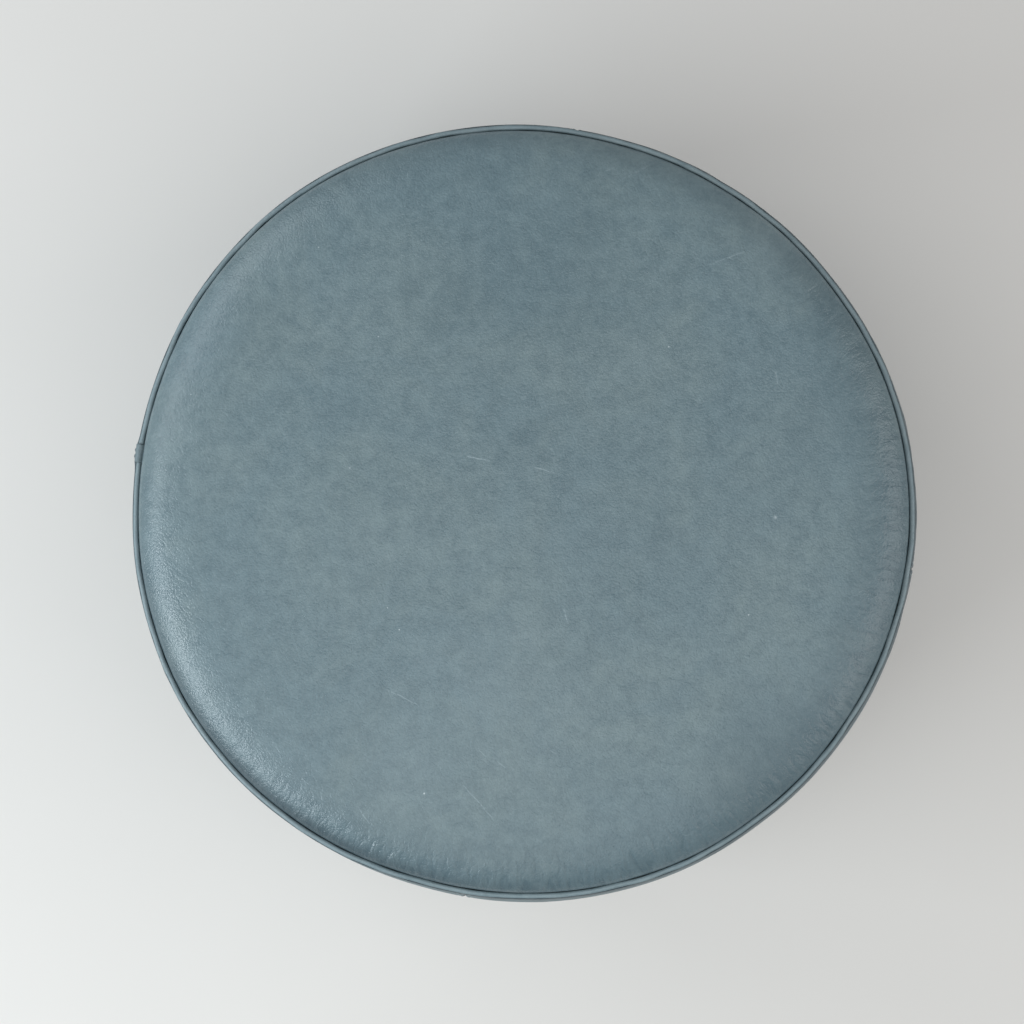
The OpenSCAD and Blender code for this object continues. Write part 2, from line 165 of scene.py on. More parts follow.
def round_centre(r, turn, z):
    """Points from their distance to the centre line, their turn round it and their height."""
    return np.stack([r * np.cos(turn), r * np.sin(turn), z], -1)


def from_sleeve(turn):
    """How far round from the piping's sleeve, from minus to plus half a turn."""
    return (turn - SEAM_TURN + math.pi) % (2 * math.pi) - math.pi


def from_seam(turn):
    """How far round from the nearest of the four side seams."""
    return np.abs((turn - SEAM_TURN + math.pi / 4) % (math.pi / 2) - math.pi / 4)


# ---------------------------------------------------------------- meshes from rows of points


def mesh_object(name, points, faces, smooth=True):
    """Makes an object from points and a list of face arrays, each of one width."""
    mesh = bpy.data.meshes.new(name)
    mesh.vertices.add(len(points))
    mesh.vertices.foreach_set("co", np.asarray(points, np.float32).ravel())
    loops = np.concatenate([f.ravel() for f in faces])
    widths = np.concatenate([np.full(len(f), f.shape[1]) for f in faces])
    mesh.loops.add(len(loops))
    mesh.loops.foreach_set("vertex_index", loops.astype(np.int32))
    mesh.polygons.add(len(widths))
    starts = np.concatenate([[0], np.cumsum(widths)[:-1]])
    mesh.polygons.foreach_set("loop_start", starts.astype(np.int32))
    mesh.polygons.foreach_set("use_smooth", np.full(len(widths), smooth))
    mesh.update(calc_edges=True)
    mesh.validate()
    thing = bpy.data.objects.new(name, mesh)
    bpy.context.scene.collection.objects.link(thing)
    return thing


def net(rows, cols, joined, first=0):
    """Square faces over rows of points; joined closes each row into a ring."""
    across = cols if joined else cols - 1
    i, j = np.meshgrid(np.arange(rows - 1), np.arange(across), indexing="ij")
    k = (j + 1) % cols
    quads = np.stack([i * cols + j, i * cols + k, (i + 1) * cols + k, (i + 1) * cols + j], -1)
    return quads.reshape(-1, 4) + first


def strip(a, b, joined):
    """Square faces between two lines of points, given by number."""
    if joined:
        a = np.append(a, a[0])
        b = np.append(b, b[0])
    return np.stack([a[:-1], a[1:], b[1:], b[:-1]], -1)


def facing(grid, joined):
    """The outward direction at every point of a grid of rows."""
    along = np.gradient(grid, axis=0)
    if joined:
        across = (np.roll(grid, -1, axis=1) - np.roll(grid, 1, axis=1)) / 2
    else:
        across = np.gradient(grid, axis=1)
    n = np.cross(along, across)
    size = np.linalg.norm(n, axis=-1, keepdims=True)
    return n / np.maximum(size, 1e-12)


def turned_outward(points, faces):
    """Flips every face if the closed shape is inside out."""
    total = 0.0
    for f in faces:
        a = points[f[:, 0]]
        for k in range(1, f.shape[1] - 1):
            total += np.einsum("ij,ij->i", a, np.cross(points[f[:, k]], points[f[:, k + 1]])).sum()
    return faces if total > 0 else [f[:, ::-1] for f in faces]


def leather_sheet(name, grid, thickness, joined, every=1, capped=False):
    """A closed skin: the grid is its outer face, and its back lies one thickness inside."""
    rows, cols = grid.shape[:2]
    kept = sorted(set(range(0, rows, every)) | {rows - 1})
    back = (grid - facing(grid, joined) * thickness)[kept]
    points = np.concatenate([grid.reshape(-1, 3), back.reshape(-1, 3)])
    first = rows * cols
    faces = [net(rows, cols, joined), net(len(kept), cols, joined, first)[:, ::-1]]
    outer_end = np.arange(cols) + (rows - 1) * cols
    inner_end = np.arange(cols) + first + (len(kept) - 1) * cols
    faces.append(strip(outer_end, inner_end, joined)[:, ::-1])
    if capped:
        middle = len(points)
        points = np.concatenate([points, [grid[0].mean(0)], [back[0].mean(0)]])
        ring = np.arange(cols)
        after = np.roll(ring, -1)
        faces.append(np.stack([np.full(cols, middle), after, ring], -1))
        faces.append(np.stack([np.full(cols, middle + 1), ring + first, after + first], -1))
    else:
        faces.append(strip(np.arange(cols), np.arange(cols) + first, joined))
    if not joined:
        left = np.arange(rows) * cols
        faces.append(strip(left, left + first, False)[:, ::-1])
        right = left + cols - 1
        faces.append(strip(right, right + first, False))
    return mesh_object(name, points, turned_outward(points, faces))


def tube(name, grid):
    """A closed ring tube: rows run along it, and each row goes round it."""
    rows, cols = grid.shape[:2]
    quads = net(rows + 1, cols, True) % (rows * cols)
    points = grid.reshape(-1, 3)
    return mesh_object(name, points, turned_outward(points, [quads]))


def store(piece, name, values):
    """Keeps one number per point on the piece, for its material."""
    layer = piece.data.attributes.new(name, "FLOAT", "POINT")
    layer.data.foreach_set("value", np.asarray(values, np.float32).ravel())


def dress(piece, material, nodes):
    """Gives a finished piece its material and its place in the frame."""
    piece.data.materials.append(material)
    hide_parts(*nodes)
    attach(piece, "pouf")
    return piece


# ---------------------------------------------------------------- shader building blocks


def new_group(name, inputs, outputs):
    group = bpy.data.node_groups.new(name, "ShaderNodeTree")
    kinds = {"f": "NodeSocketFloat", "v": "NodeSocketVector", "c": "NodeSocketColor"}
    for label, kind, value in inputs:
        socket = group.interface.new_socket(label, in_out="INPUT", socket_type=kinds[kind])
        if value is not None:
            socket.default_value = value
    for label, kind in outputs:
        group.interface.new_socket(label, in_out="OUTPUT", socket_type=kinds[kind])
    return group, group.nodes.new("NodeGroupInput"), group.nodes.new("NodeGroupOutput")


def put(socket, value, tree):
    """Sets a socket to a number, or joins another node to it."""
    if isinstance(value, bpy.types.NodeSocket):
        tree.links.new(value, socket)
    else:
        socket.default_value = value


def maths(tree, kind, a, b=None, c=None, clamp=False):
    node = tree.nodes.new("ShaderNodeMath")
    node.operation = kind
    node.use_clamp = clamp
    for socket, value in zip(node.inputs, (a, b, c)):
        if value is not None:
            put(socket, value, tree)
    return node.outputs[0]


def times(tree, a, b, clamp=False):
    return maths(tree, "MULTIPLY", a, b, clamp=clamp)


def plus(tree, a, b):
    return maths(tree, "ADD", a, b)


def minus(tree, a, b, clamp=False):
    return maths(tree, "SUBTRACT", a, b, clamp=clamp)


def times_plus(tree, a, b, c):
    return maths(tree, "MULTIPLY_ADD", a, b, c)


def vector(tree, kind, a, b=None, scale=None):
    node = tree.nodes.new("ShaderNodeVectorMath")
    node.operation = kind
    put(node.inputs[0], a, tree)
    if b is not None:
        put(node.inputs[1], b, tree)
    if scale is not None:
        put(node.inputs["Scale"], scale, tree)
    return node.outputs["Value" if kind in ("DOT_PRODUCT", "LENGTH", "DISTANCE") else "Vector"]


def noise(tree, place, scale, detail=3.0, rough=0.55, twist=0.0):
    node = tree.nodes.new("ShaderNodeTexNoise")
    put(node.inputs["Vector"], place, tree)
    put(node.inputs["Scale"], scale, tree)
    node.inputs["Detail"].default_value = detail
    node.inputs["Roughness"].default_value = rough
    node.inputs["Distortion"].default_value = twist
    return node.outputs["Fac"]


def cells(tree, place, scale, feature="F1", output="Distance"):
    node = tree.nodes.new("ShaderNodeTexVoronoi")
    node.feature = feature
    put(node.inputs["Vector"], place, tree)
    put(node.inputs["Scale"], scale, tree)
    return node.outputs[output]


def between(tree, value, low, high, out_low=0.0, out_high=1.0):
    node = tree.nodes.new("ShaderNodeMapRange")
    node.interpolation_type = "SMOOTHSTEP"
    put(node.inputs["Value"], value, tree)
    put(node.inputs["From Min"], low, tree)
    put(node.inputs["From Max"], high, tree)
    put(node.inputs["To Min"], out_low, tree)
    put(node.inputs["To Max"], out_high, tree)
    return node.outputs["Result"]


def blend_colour(tree, share, a, b):
    node = tree.nodes.new("ShaderNodeMix")
    node.data_type = "RGBA"
    put(node.inputs[0], share, tree)
    put(node.inputs[6], a, tree)
    put(node.inputs[7], b, tree)
    return node.outputs[2]


def place_group(tree, group, values):
    node = tree.nodes.new("ShaderNodeGroup")
    node.node_tree = group
    for label, value in values.items():
        put(node.inputs[label], value, tree)
    return node


def make_hide_grain():
    """Fine pebble grain with pores and soft creases, as a height from 0 to 1."""
    tree, start, end = new_group(
        "hide grain",
        (("Place", "v", None), ("Pebble Scale", "f", 900.0), ("Crease", "f", 0.4), ("Pores", "f", 0.3)),
        (("Height", "f"),),
    )
    place = start.outputs["Place"]
    bent = noise(tree, place, 240.0, 2.0)
    shift = vector(tree, "SCALE", place, scale=times_plus(tree, bent, 0.010, 0.995))
    pebble = cells(tree, shift, start.outputs["Pebble Scale"], "F1")
    round_top = minus(tree, 1.0, pebble, clamp=True)
    crease = cells(tree, shift, times(tree, start.outputs["Pebble Scale"], 0.27), "DISTANCE_TO_EDGE")
    furrow = between(tree, crease, 0.0, 0.12)
    fine = noise(tree, place, 2600.0, 2.0, 0.6)
    body = times_plus(tree, fine, start.outputs["Pores"], round_top)
    sunk = times(tree, minus(tree, furrow, 1.0), start.outputs["Crease"])
    tree.links.new(plus(tree, body, sunk), end.inputs["Height"])
    return tree


def make_hide_cloud():
    """Slow and middling colour drift over a dyed hide, each from 0 to 1."""
    tree, start, end = new_group(
        "hide cloud",
        (("Place", "v", None), ("Patch Scale", "f", 9.0)),
        (("Patch", "f"), ("Mottle", "f"), ("Fleck", "f")),
    )
    place = start.outputs["Place"]
    patch = noise(tree, place, start.outputs["Patch Scale"], 4.0, 0.6, 0.6)
    mottle = noise(tree, place, times(tree, start.outputs["Patch Scale"], 7.0), 6.0, 0.68, 0.4)
    fleck = noise(tree, place, 620.0, 3.0, 0.7)
    tree.links.new(between(tree, patch, 0.30, 0.70), end.inputs["Patch"])
    tree.links.new(between(tree, mottle, 0.28, 0.72), end.inputs["Mottle"])
    tree.links.new(between(tree, fleck, 0.30, 0.74), end.inputs["Fleck"])
    return tree


def make_scuff_line():
    """One thin scratch between two places, tapered to its ends, as a mask."""
    tree, start, end = new_group(
        "scuff line",
        (
            ("Place", "v", None), ("From", "v", None), ("To", "v", None),
            ("Width", "f", 0.0003), ("Strength", "f", 1.0),
        ),
        (("Mask", "f"),),
    )
    reach = vector(tree, "SUBTRACT", start.outputs["To"], start.outputs["From"])
    near = vector(tree, "SUBTRACT", start.outputs["Place"], start.outputs["From"])
    top = vector(tree, "DOT_PRODUCT", near, reach)
    bottom = vector(tree, "DOT_PRODUCT", reach, reach)
    share = maths(tree, "DIVIDE", top, bottom, clamp=True)
    foot = vector(tree, "SCALE", reach, scale=share)
    off = vector(tree, "LENGTH", vector(tree, "SUBTRACT", near, foot))
    line = between(tree, off, 0.0, start.outputs["Width"], 1.0, 0.0)
    ends = times(tree, times(tree, share, minus(tree, 1.0, share)), 4.0)
    tapered = times(tree, line, maths(tree, "POWER", ends, 0.4))
    tree.links.new(times(tree, tapered, start.outputs["Strength"], clamp=True), end.inputs["Mask"])
    return tree


def make_rim_gathers():
    """Fine creases that run across a round seam and fade away from it, as a height."""
    tree, start, end = new_group(
        "rim gathers",
        (
            ("Place", "v", None), ("Rim", "f", 0.22), ("Away", "f", 0.0), ("Reach In", "f", 0.05),
            ("Scale", "f", 300.0), ("Loose Side", "v", None),
        ),
        (("Height", "f"), ("Amount", "f"), ("Line", "f")),
    )
    flat = vector(tree, "MULTIPLY", start.outputs["Place"], (1.0, 1.0, 0.0))
    way = vector(tree, "NORMALIZE", flat)
    round_rim = vector(tree, "SCALE", way, scale=start.outputs["Rim"])
    lift = tree.nodes.new("ShaderNodeCombineXYZ")
    tree.links.new(times(tree, start.outputs["Away"], 0.42), lift.inputs["Z"])
    drawn = vector(tree, "ADD", round_rim, lift.outputs[0])
    crease = noise(tree, drawn, start.outputs["Scale"], 3.0, 0.5, 0.5)
    loose = vector(tree, "DOT_PRODUCT", way, start.outputs["Loose Side"])
    uneven = times_plus(tree, noise(tree, round_rim, 11.0, 2.0), 1.6, loose)
    slow = between(tree, uneven, 0.35, 1.35, 0.06, 1.0)
    near = between(tree, start.outputs["Away"], start.outputs["Reach In"], 0.0)
    fade = times(tree, near, slow)
    tree.links.new(times(tree, crease, fade), end.inputs["Height"])
    line = between(tree, crease, 0.36, 0.50, 1.0, 0.0)
    tree.links.new(times(tree, line, fade), end.inputs["Line"])
    tree.links.new(fade, end.inputs["Amount"])
    return tree


def make_weave():
    """Plain woven cloth: a height and a gap mask from two crossed sets of threads."""
    tree, start, end = new_group(
        "plain weave",
        (("Place", "v", None), ("Thread Pitch", "f", 0.0005)),
        (("Height", "f"), ("Gap", "f")),
    )
    split = tree.nodes.new("ShaderNodeSeparateXYZ")
    tree.links.new(start.outputs["Place"], split.inputs[0])
    turns = maths(tree, "DIVIDE", math.pi, start.outputs["Thread Pitch"])
    along = plus(tree, split.outputs["X"], times(tree, split.outputs["Z"], 0.7))
    across = minus(tree, split.outputs["Y"], times(tree, split.outputs["Z"], 0.7))
    warp = maths(tree, "ABSOLUTE", maths(tree, "SINE", times(tree, along, turns)))
    weft = maths(tree, "ABSOLUTE", maths(tree, "SINE", times(tree, across, turns)))
    high = maths(tree, "MAXIMUM", warp, weft)
    tree.links.new(high, end.inputs["Height"])
    low = times(tree, minus(tree, 1.0, warp), minus(tree, 1.0, weft))
    tree.links.new(low, end.inputs["Gap"])
    return tree


HIDE_GRAIN = make_hide_grain()
HIDE_CLOUD = make_hide_cloud()
SCUFF_LINE = make_scuff_line()
RIM_GATHERS = make_rim_gathers()
PLAIN_WEAVE = make_weave()


def new_material(name):
    material = bpy.data.materials.new(name)
    material.use_nodes = True
    tree = material.node_tree
    shader = tree.nodes["Principled BSDF"]
    place = tree.nodes.new("ShaderNodeTexCoord").outputs["Object"]
    return material, tree, shader, place


def paint(tree, shader, colour, roughness):
    """Gives the shader its finished colour and roughness."""
    tree.links.new(colour, shader.inputs["Base Color"])
    put(shader.inputs["Roughness"], roughness, tree)


def bump(tree, shader, height, depth):
    """Raises the surface by a height from 0 to 1, with its depth in metres."""
    node = tree.nodes.new("ShaderNodeBump")
    node.inputs["Strength"].default_value = 1.0
    node.inputs["Distance"].default_value = depth
    tree.links.new(height, node.inputs["Height"])
    tree.links.new(node.outputs["Normal"], shader.inputs["Normal"])


def kept_mask(tree, name):
    """A mask kept on the points of the piece, such as how deep each lies in a fold."""
    node = tree.nodes.new("ShaderNodeAttribute")
    node.attribute_name = name
    return node.outputs["Fac"]


def sheen_of_wax(shader, amount, spread):
    shader.inputs["Sheen Weight"].default_value = amount
    shader.inputs["Sheen Roughness"].default_value = spread
    shader.inputs["Sheen Tint"].default_value = (0.86, 0.94, 1.0, 1.0)


# Dyed leather, from the painted shade of its tucked folds and its dark dye to its rubbed high spots.
FOLD_SHADE = (0.018, 0.034, 0.044, 1.0)
DYE_DARK = (0.064, 0.106, 0.126, 1.0)
DYE = (0.121, 0.178, 0.200, 1.0)
DYE_WARM = (0.146, 0.200, 0.212, 1.0)
DYE_PALE = (0.255, 0.320, 0.345, 1.0)


def dyed_hide(tree, place, patch_scale):
    """The hide's colour with its drift, and the masks that drive it."""
    cloud = place_group(tree, HIDE_CLOUD, {"Place": place, "Patch Scale": patch_scale})
    drift = blend_colour(tree, cloud.outputs["Patch"], DYE, DYE_WARM)
    shade = times(tree, minus(tree, 1.0, cloud.outputs["Mottle"]), 0.54)
    darker = blend_colour(tree, shade, drift, DYE_DARK)
    dust = times(tree, cloud.outputs["Fleck"], 0.20)
    return blend_colour(tree, dust, darker, DYE_PALE), cloud


def with_fold_shade(tree, colour):
    """Paints shade into the leather where it is tucked into a seam or a fold, and adds any other darkening
    a piece keeps in its tuck mask.
    """
    return blend_colour(tree, kept_mask(tree, "tuck"), colour, FOLD_SHADE)


def grain_of(tree, place, scale, crease, pores):
    values = {"Place": place, "Pebble Scale": scale, "Crease": crease, "Pores": pores}
    return place_group(tree, HIDE_GRAIN, values).outputs["Height"]


def heights(tree, *layers):
    """Adds layers of relief, each a height from 0 to 1 with its depth in metres."""
    total = None
    for height, depth in layers:
        if total is None:
            total = times(tree, height, depth)
        else:
            total = times_plus(tree, height, depth, total)
    return total


def scratched(tree, place, marks):
    """All the scratches together, shaken off their straight lines and broken up."""
    wobble = tree.nodes.new("ShaderNodeTexNoise")
    wobble.inputs["Scale"].default_value = 130.0
    tree.links.new(place, wobble.inputs["Vector"])
    shaken = vector(tree, "SUBTRACT", wobble.outputs["Color"], (0.5, 0.5, 0.5))
    moved = vector(tree, "ADD", place, vector(tree, "SCALE", shaken, scale=0.0020))
    flat = vector(tree, "MULTIPLY", moved, (1.0, 1.0, 0.0))
    total = None
    for a, b, width, strength in marks:
        values = {"Place": flat, "From": (*a, 0.0), "To": (*b, 0.0), "Width": width, "Strength": strength}
        line = place_group(tree, SCUFF_LINE, values).outputs["Mask"]
        total = line if total is None else maths(tree, "MAXIMUM", total, line)
    broken = between(tree, noise(tree, place, 420.0, 2.0), 0.34, 0.52)
    return times(tree, total, broken)


def soft_spots(tree, flat, places, wobble):
    """Round, ragged-edged patches: place, size and strength of each."""
    total = None
    for x, y, size, strength in places:
        off = vector(tree, "DISTANCE", flat, (x, y, 0.0))
        ragged = times_plus(tree, wobble, size * 1.2, off)
        one = between(tree, ragged, size * 0.5, size * 1.8, strength, 0.0)
        total = one if total is None else maths(tree, "MAXIMUM", total, one)
    return total


def top_leather():
    """The seat's leather: cloudy dye, a darker rim with painted shade in its creases, fine scratches and a
    few spots.
    """
    material, tree, shader, place = new_material("seat leather")
    colour, cloud = dyed_hide(tree, place, 15.0)
    flat = vector(tree, "MULTIPLY", place, (1.0, 1.0, 0.0))
    slow = noise(tree, place, 30.0, 4.0, 0.6)
    quick = noise(tree, place, 330.0, 3.0)
    # Dark patches; the broad one towards the back is painted shade.
    colour = blend_colour(tree, soft_spots(tree, flat, DARK_PATCHES, slow), colour, DYE_DARK)
    colour = blend_colour(tree, soft_spots(tree, flat, PALE_PATCHES, slow), colour, DYE_PALE)
    away = minus(tree, PANEL_OUT, vector(tree, "LENGTH", flat))
    gathers = place_group(
        tree,
        RIM_GATHERS,
        {
            "Place": place, "Rim": PANEL_OUT, "Away": away, "Reach In": 0.042,
            "Scale": 235.0, "Loose Side": (0.50, -0.80, 0.0),
        },
    )
    # Darker towards the rim, most at the front right, with painted shade in the creases of the gathers.
    rim_darkening = times(tree, gathers.outputs["Amount"], 0.52)
    rim_darkening = times_plus(tree, gathers.outputs["Line"], 0.36, rim_darkening)
    colour = blend_colour(tree, rim_darkening, colour, DYE_DARK)
    marks = scratched(tree, place, SCRATCHES)
    colour = blend_colour(tree, times(tree, marks, 0.85), colour, DYE_PALE)
    bite = cells(tree, place, 42.0)
    chosen = tree.nodes.new("ShaderNodeSeparateColor")
    tree.links.new(cells(tree, place, 42.0, output="Color"), chosen.inputs[0])
    colour = blend_colour(tree, soft_spots(tree, flat, SPECKS, quick), colour, (0.50, 0.56, 0.58, 1.0))
    pit = between(tree, chosen.outputs[1], 0.90, 0.93)
    pit = times(tree, pit, between(tree, bite, 0.02, 0.05, 0.5, 0.0))
    colour = blend_colour(tree, pit, colour, DYE_DARK)
    colour = blend_colour(tree, soft_spots(tree, flat, SPOTS, quick), colour, DYE_DARK)
    polish = times_plus(tree, cloud.outputs["Mottle"], 0.09, 0.27)
    paint(tree, shader, with_fold_shade(tree, colour), times_plus(tree, marks, 0.12, polish))
    grain = grain_of(tree, place, 820.0, 0.35, 0.35)
    ripple = noise(tree, place, 150.0, 4.0, 0.6)
    bump(tree, shader, heights(
        tree, (grain, 0.00015), (marks, -0.00004), (ripple, 0.00024), (gathers.outputs["Height"], 0.0012),
    ), 1.0)
    sheen_of_wax(shader, 0.04, 0.45)
    return material


def side_leather(name, patch_scale, roughness, darker, gathered):
    """Plain runs of the same leather, for the side panels and the base."""
    material, tree, shader, place = new_material(name)
    colour, cloud = dyed_hide(tree, place, patch_scale)
    # Painted shade: the side and base leather are mixed darker than the seat's.
    colour = blend_colour(tree, darker, colour, DYE_DARK)
    grain = grain_of(tree, place, 700.0, 0.5, 0.4)
    relief = [(grain, 0.00007), (noise(tree, place, 120.0, 4.0, 0.6), 0.00022)]
    if gathered:
        high = tree.nodes.new("ShaderNodeSeparateXYZ")
        tree.links.new(place, high.inputs[0])
        from_top = minus(tree, RIM_Z, high.outputs["Z"])
        from_foot = minus(tree, high.outputs["Z"], FOOT_Z)
        gathers = place_group(
            tree,
            RIM_GATHERS,
            {
                "Place": place, "Rim": SIDE_R, "Away": maths(tree, "MINIMUM", from_top, from_foot),
                "Reach In": 0.060, "Scale": 150.0, "Loose Side": (0.0, 0.0, 0.0),
            },
        )
        relief.append((gathers.outputs["Height"], 0.0016))
        # Painted shade in the creases of the gathers.
        fold = times(tree, gathers.outputs["Line"], 0.30)
        colour = blend_colour(tree, fold, colour, DYE_DARK)
    worn = times(tree, between(tree, noise(tree, place, 34.0, 6.0, 0.7), 0.60, 0.75), 0.16)
    colour = blend_colour(tree, worn, colour, DYE_PALE)
    paint(tree, shader, with_fold_shade(tree, colour), times_plus(tree, cloud.outputs["Mottle"], 0.12, roughness))
    bump(tree, shader, heights(tree, *relief), 1.0)
    shader.inputs["Specular IOR Level"].default_value = 0.35
    return material


def piping_leather():
    """Thin leather pulled round a cord: paler on its crown from rubbing and a painted highlight, with
    painted shade in its folds.
    """
    material, tree, shader, place = new_material("piping leather")
    colour, cloud = dyed_hide(tree, place, 22.0)
    patchy = between(tree, noise(tree, place, 60.0, 4.0), 0.15, 0.6)
    # Paler crown: part rubbing, part painted highlight.
    rub_and_highlight = times(tree, kept_mask(tree, "crown"), patchy)
    colour = blend_colour(tree, times(tree, rub_and_highlight, 0.45), colour, DYE_PALE)
    paint(tree, shader, with_fold_shade(tree, colour), times_plus(tree, cloud.outputs["Mottle"], 0.14, 0.38))
    bump(tree, shader, grain_of(tree, place, 1100.0, 0.6, 0.4), 0.00006)
    sheen_of_wax(shader, 0.03, 0.4)
    return material


def woven(name, light, dark, pitch):
    """A plain weave cloth, darker in the gaps between its threads."""
    material, tree, shader, place = new_material(name)
    weave = place_group(tree, PLAIN_WEAVE, {"Place": place, "Thread Pitch": pitch})
    slub = between(tree, noise(tree, place, 300.0, 4.0, 0.7), 0.3, 0.7)
    colour = blend_colour(tree, times(tree, slub, 0.35), light, dark)
    colour = blend_colour(tree, times(tree, weave.outputs["Gap"], 0.8), colour, dark)
    paint(tree, shader, colour, times_plus(tree, slub, 0.1, 0.80))
    bump(tree, shader, weave.outputs["Height"], pitch * 0.35)
    shader.inputs["Sheen Weight"].default_value = 0.25
    return material


def waxed_thread():
    material, tree, shader, place = new_material("waxed thread")
    ply = noise(tree, place, 2400.0, 2.0)
    lit = between(tree, ply, 0.35, 0.65)
    colour = blend_colour(tree, lit, (0.14, 0.19, 0.205, 1.0), (0.27, 0.33, 0.345, 1.0))
    paint(tree, shader, colour, times_plus(tree, ply, 0.2, 0.45))
    bump(tree, shader, ply, 0.00006)
    return material


def dulled_brass():
    material, tree, shader, place = new_material("dulled brass")
    tarnish = between(tree, noise(tree, place, 190.0, 6.0, 0.7), 0.35, 0.68)
    colour = blend_colour(tree, tarnish, (0.50, 0.36, 0.16, 1.0), (0.17, 0.125, 0.07, 1.0))
    paint(tree, shader, colour, times_plus(tree, tarnish, 0.25, 0.28))
    shader.inputs["Metallic"].default_value = 1.0
    bump(tree, shader, noise(tree, place, 1500.0, 3.0), 0.00003)
    return material


def loose_fibre():
    material, tree, shader, place = new_material("loose fibre")
    tuft = noise(tree, place, 420.0, 6.0, 0.75, 1.5)
    lit = between(tree, tuft, 0.3, 0.7)
    colour = blend_colour(tree, lit, (0.66, 0.65, 0.61, 1.0), (0.86, 0.85, 0.82, 1.0))
    paint(tree, shader, colour, 0.95)
    shader.inputs["Sheen Weight"].default_value = 0.5
    bump(tree, shader, tuft, 0.0012)
    return material


def cut_foam():
    material, tree, shader, place = new_material("cut foam")
    bubble = cells(tree, place, 700.0)
    tone = between(tree, noise(tree, place, 30.0, 3.0), 0.3, 0.7)
    colour = blend_colour(tree, tone, (0.80, 0.70, 0.42, 1.0), (0.84, 0.77, 0.54, 1.0))
    colour = blend_colour(tree, between(tree, bubble, 0.1, 0.6, 0.35, 0.0), colour, (0.45, 0.36, 0.18, 1.0))
    paint(tree, shader, colour, 0.9)
    bump(tree, shader, bubble, 0.0004)
    return material


# Scratches on the seat, each from one place to another, with its width and strength.
SCRATCHES = (
    ((-0.0300, 0.0300), (-0.0165, 0.0270), 0.00062, 0.95),
    ((0.0070, 0.0240), (0.0205, 0.0198), 0.00058, 0.85),
    ((0.0240, -0.0535), (0.0277, -0.0650), 0.00062, 0.80),
    ((-0.0757, -0.1026), (-0.0566, -0.1115), 0.00055, 0.75),
    ((-0.0322, -0.1563), (-0.0148, -0.1762), 0.00055, 0.70),
    ((-0.0236, -0.1356), (-0.0188, -0.1412), 0.00050, 0.50),
    ((-0.0127, -0.1434), (-0.0073, -0.1471), 0.00050, 0.50),
    ((-0.0923, -0.1693), (-0.0851, -0.1797), 0.00055, 0.65),
    ((0.0162, -0.1362), (0.0222, -0.1400), 0.00050, 0.40),
    ((0.1100, 0.1400), (0.1287, 0.1471), 0.00075, 0.55),
    ((0.1453, 0.0797), (0.1467, 0.0703), 0.00065, 0.65),
    ((0.1408, 0.0670), (0.1564, 0.0672), 0.00060, 0.45),
    ((0.0488, 0.1937), (0.0539, 0.1958), 0.00060, 0.55),
    ((0.0560, 0.1870), (0.0778, 0.1996), 0.00095, 0.30),
)

# Dark spots on the seat: place, size and strength.
SPOTS = (
    (-0.1217, 0.0142, 0.0013, 0.50),
    (-0.0580, -0.2045, 0.0026, 0.50),
    (-0.0453, -0.0972, 0.0007, 0.60),
    (-0.0225, -0.0482, 0.0009, 0.45),
    (0.0386, 0.0438, 0.0012, 0.30),
    (0.0655, 0.1500, 0.0010, 0.35),
)

# Pale specks, and one pale round rub.
SPECKS = (
    (-0.0748, -0.0562, 0.0005, 0.95),
    (-0.0681, -0.0686, 0.0005, 0.95),
    (-0.0541, -0.1618, 0.0006, 1.00),
    (0.0851, 0.0922, 0.0005, 0.80),
    (0.1300, -0.0601, 0.0006, 0.90),
    (-0.0964, 0.0233, 0.0006, 0.55),
    (-0.0805, 0.0984, 0.0005, 0.60),
    (-0.1150, 0.1500, 0.0005, 0.60),
    (-0.1885, 0.0659, 0.0006, 0.60),
    (0.0222, 0.0072, 0.0006, 0.40),
    (0.1454, -0.0049, 0.0015, 0.42),
)

# Slow patches where the hide took more dye, and where it has rubbed paler. Of the dark ones, the broad
# patch towards the back is painted shade, and the broad one at the front-right rim darkens that rim.
DARK_PATCHES = (
    (-0.030, 0.118, 0.030, 0.26),
    (-0.062, 0.124, 0.012, 0.42),
    (-0.030, 0.154, 0.010, 0.34),
    (-0.093, 0.058, 0.008, 0.28),
    (-0.048, 0.102, 0.010, 0.40),
    (0.088, 0.155, 0.012, 0.32),
    (0.011, 0.046, 0.014, 0.22),
    (0.080, -0.010, 0.022, 0.20),
    (0.040, 0.165, 0.030, 0.28),
    (0.162, 0.050, 0.026, 0.20),
    (0.148, -0.150, 0.052, 0.62),
    (0.010, 0.120, 0.075, 0.15),
    (-0.010, 0.030, 0.030, 0.20),
    (-0.145, 0.105, 0.030, 0.16),
)
PALE_PATCHES = (
    (0.004, -0.074, 0.016, 0.13),
    (-0.052, -0.086, 0.017, 0.12),
    (-0.012, -0.108, 0.055, 0.12),
    (-0.060, -0.140, 0.045, 0.12),
    (0.020, -0.110, 0.032, 0.08),
    (0.070, 0.090, 0.016, 0.07),
    (0.150, 0.150, 0.045, 0.14),
)

SEAT_LEATHER = top_leather()
PANEL_LEATHER = side_leather("side leather", 14.0, 0.44, 0.30, True)
BASE_LEATHER = side_leather("base leather", 14.0, 0.56, 0.40, False)
PIPING_LEATHER = piping_leather()
THREAD = waxed_thread()
CALICO = woven("calico", (0.72, 0.66, 0.54, 1.0), (0.52, 0.46, 0.35, 1.0), 0.0006)
COTTON_TAPE = woven("cotton tape", (0.66, 0.62, 0.52, 1.0), (0.45, 0.41, 0.33, 1.0), 0.0008)
ZIP_TAPE = woven("zip tape", (0.055, 0.062, 0.070, 1.0), (0.020, 0.023, 0.027, 1.0), 0.0005)
BRASS = dulled_brass()
WADDING = loose_fibre()
FOAM = cut_foam()


# ---------------------------------------------------------------- the top


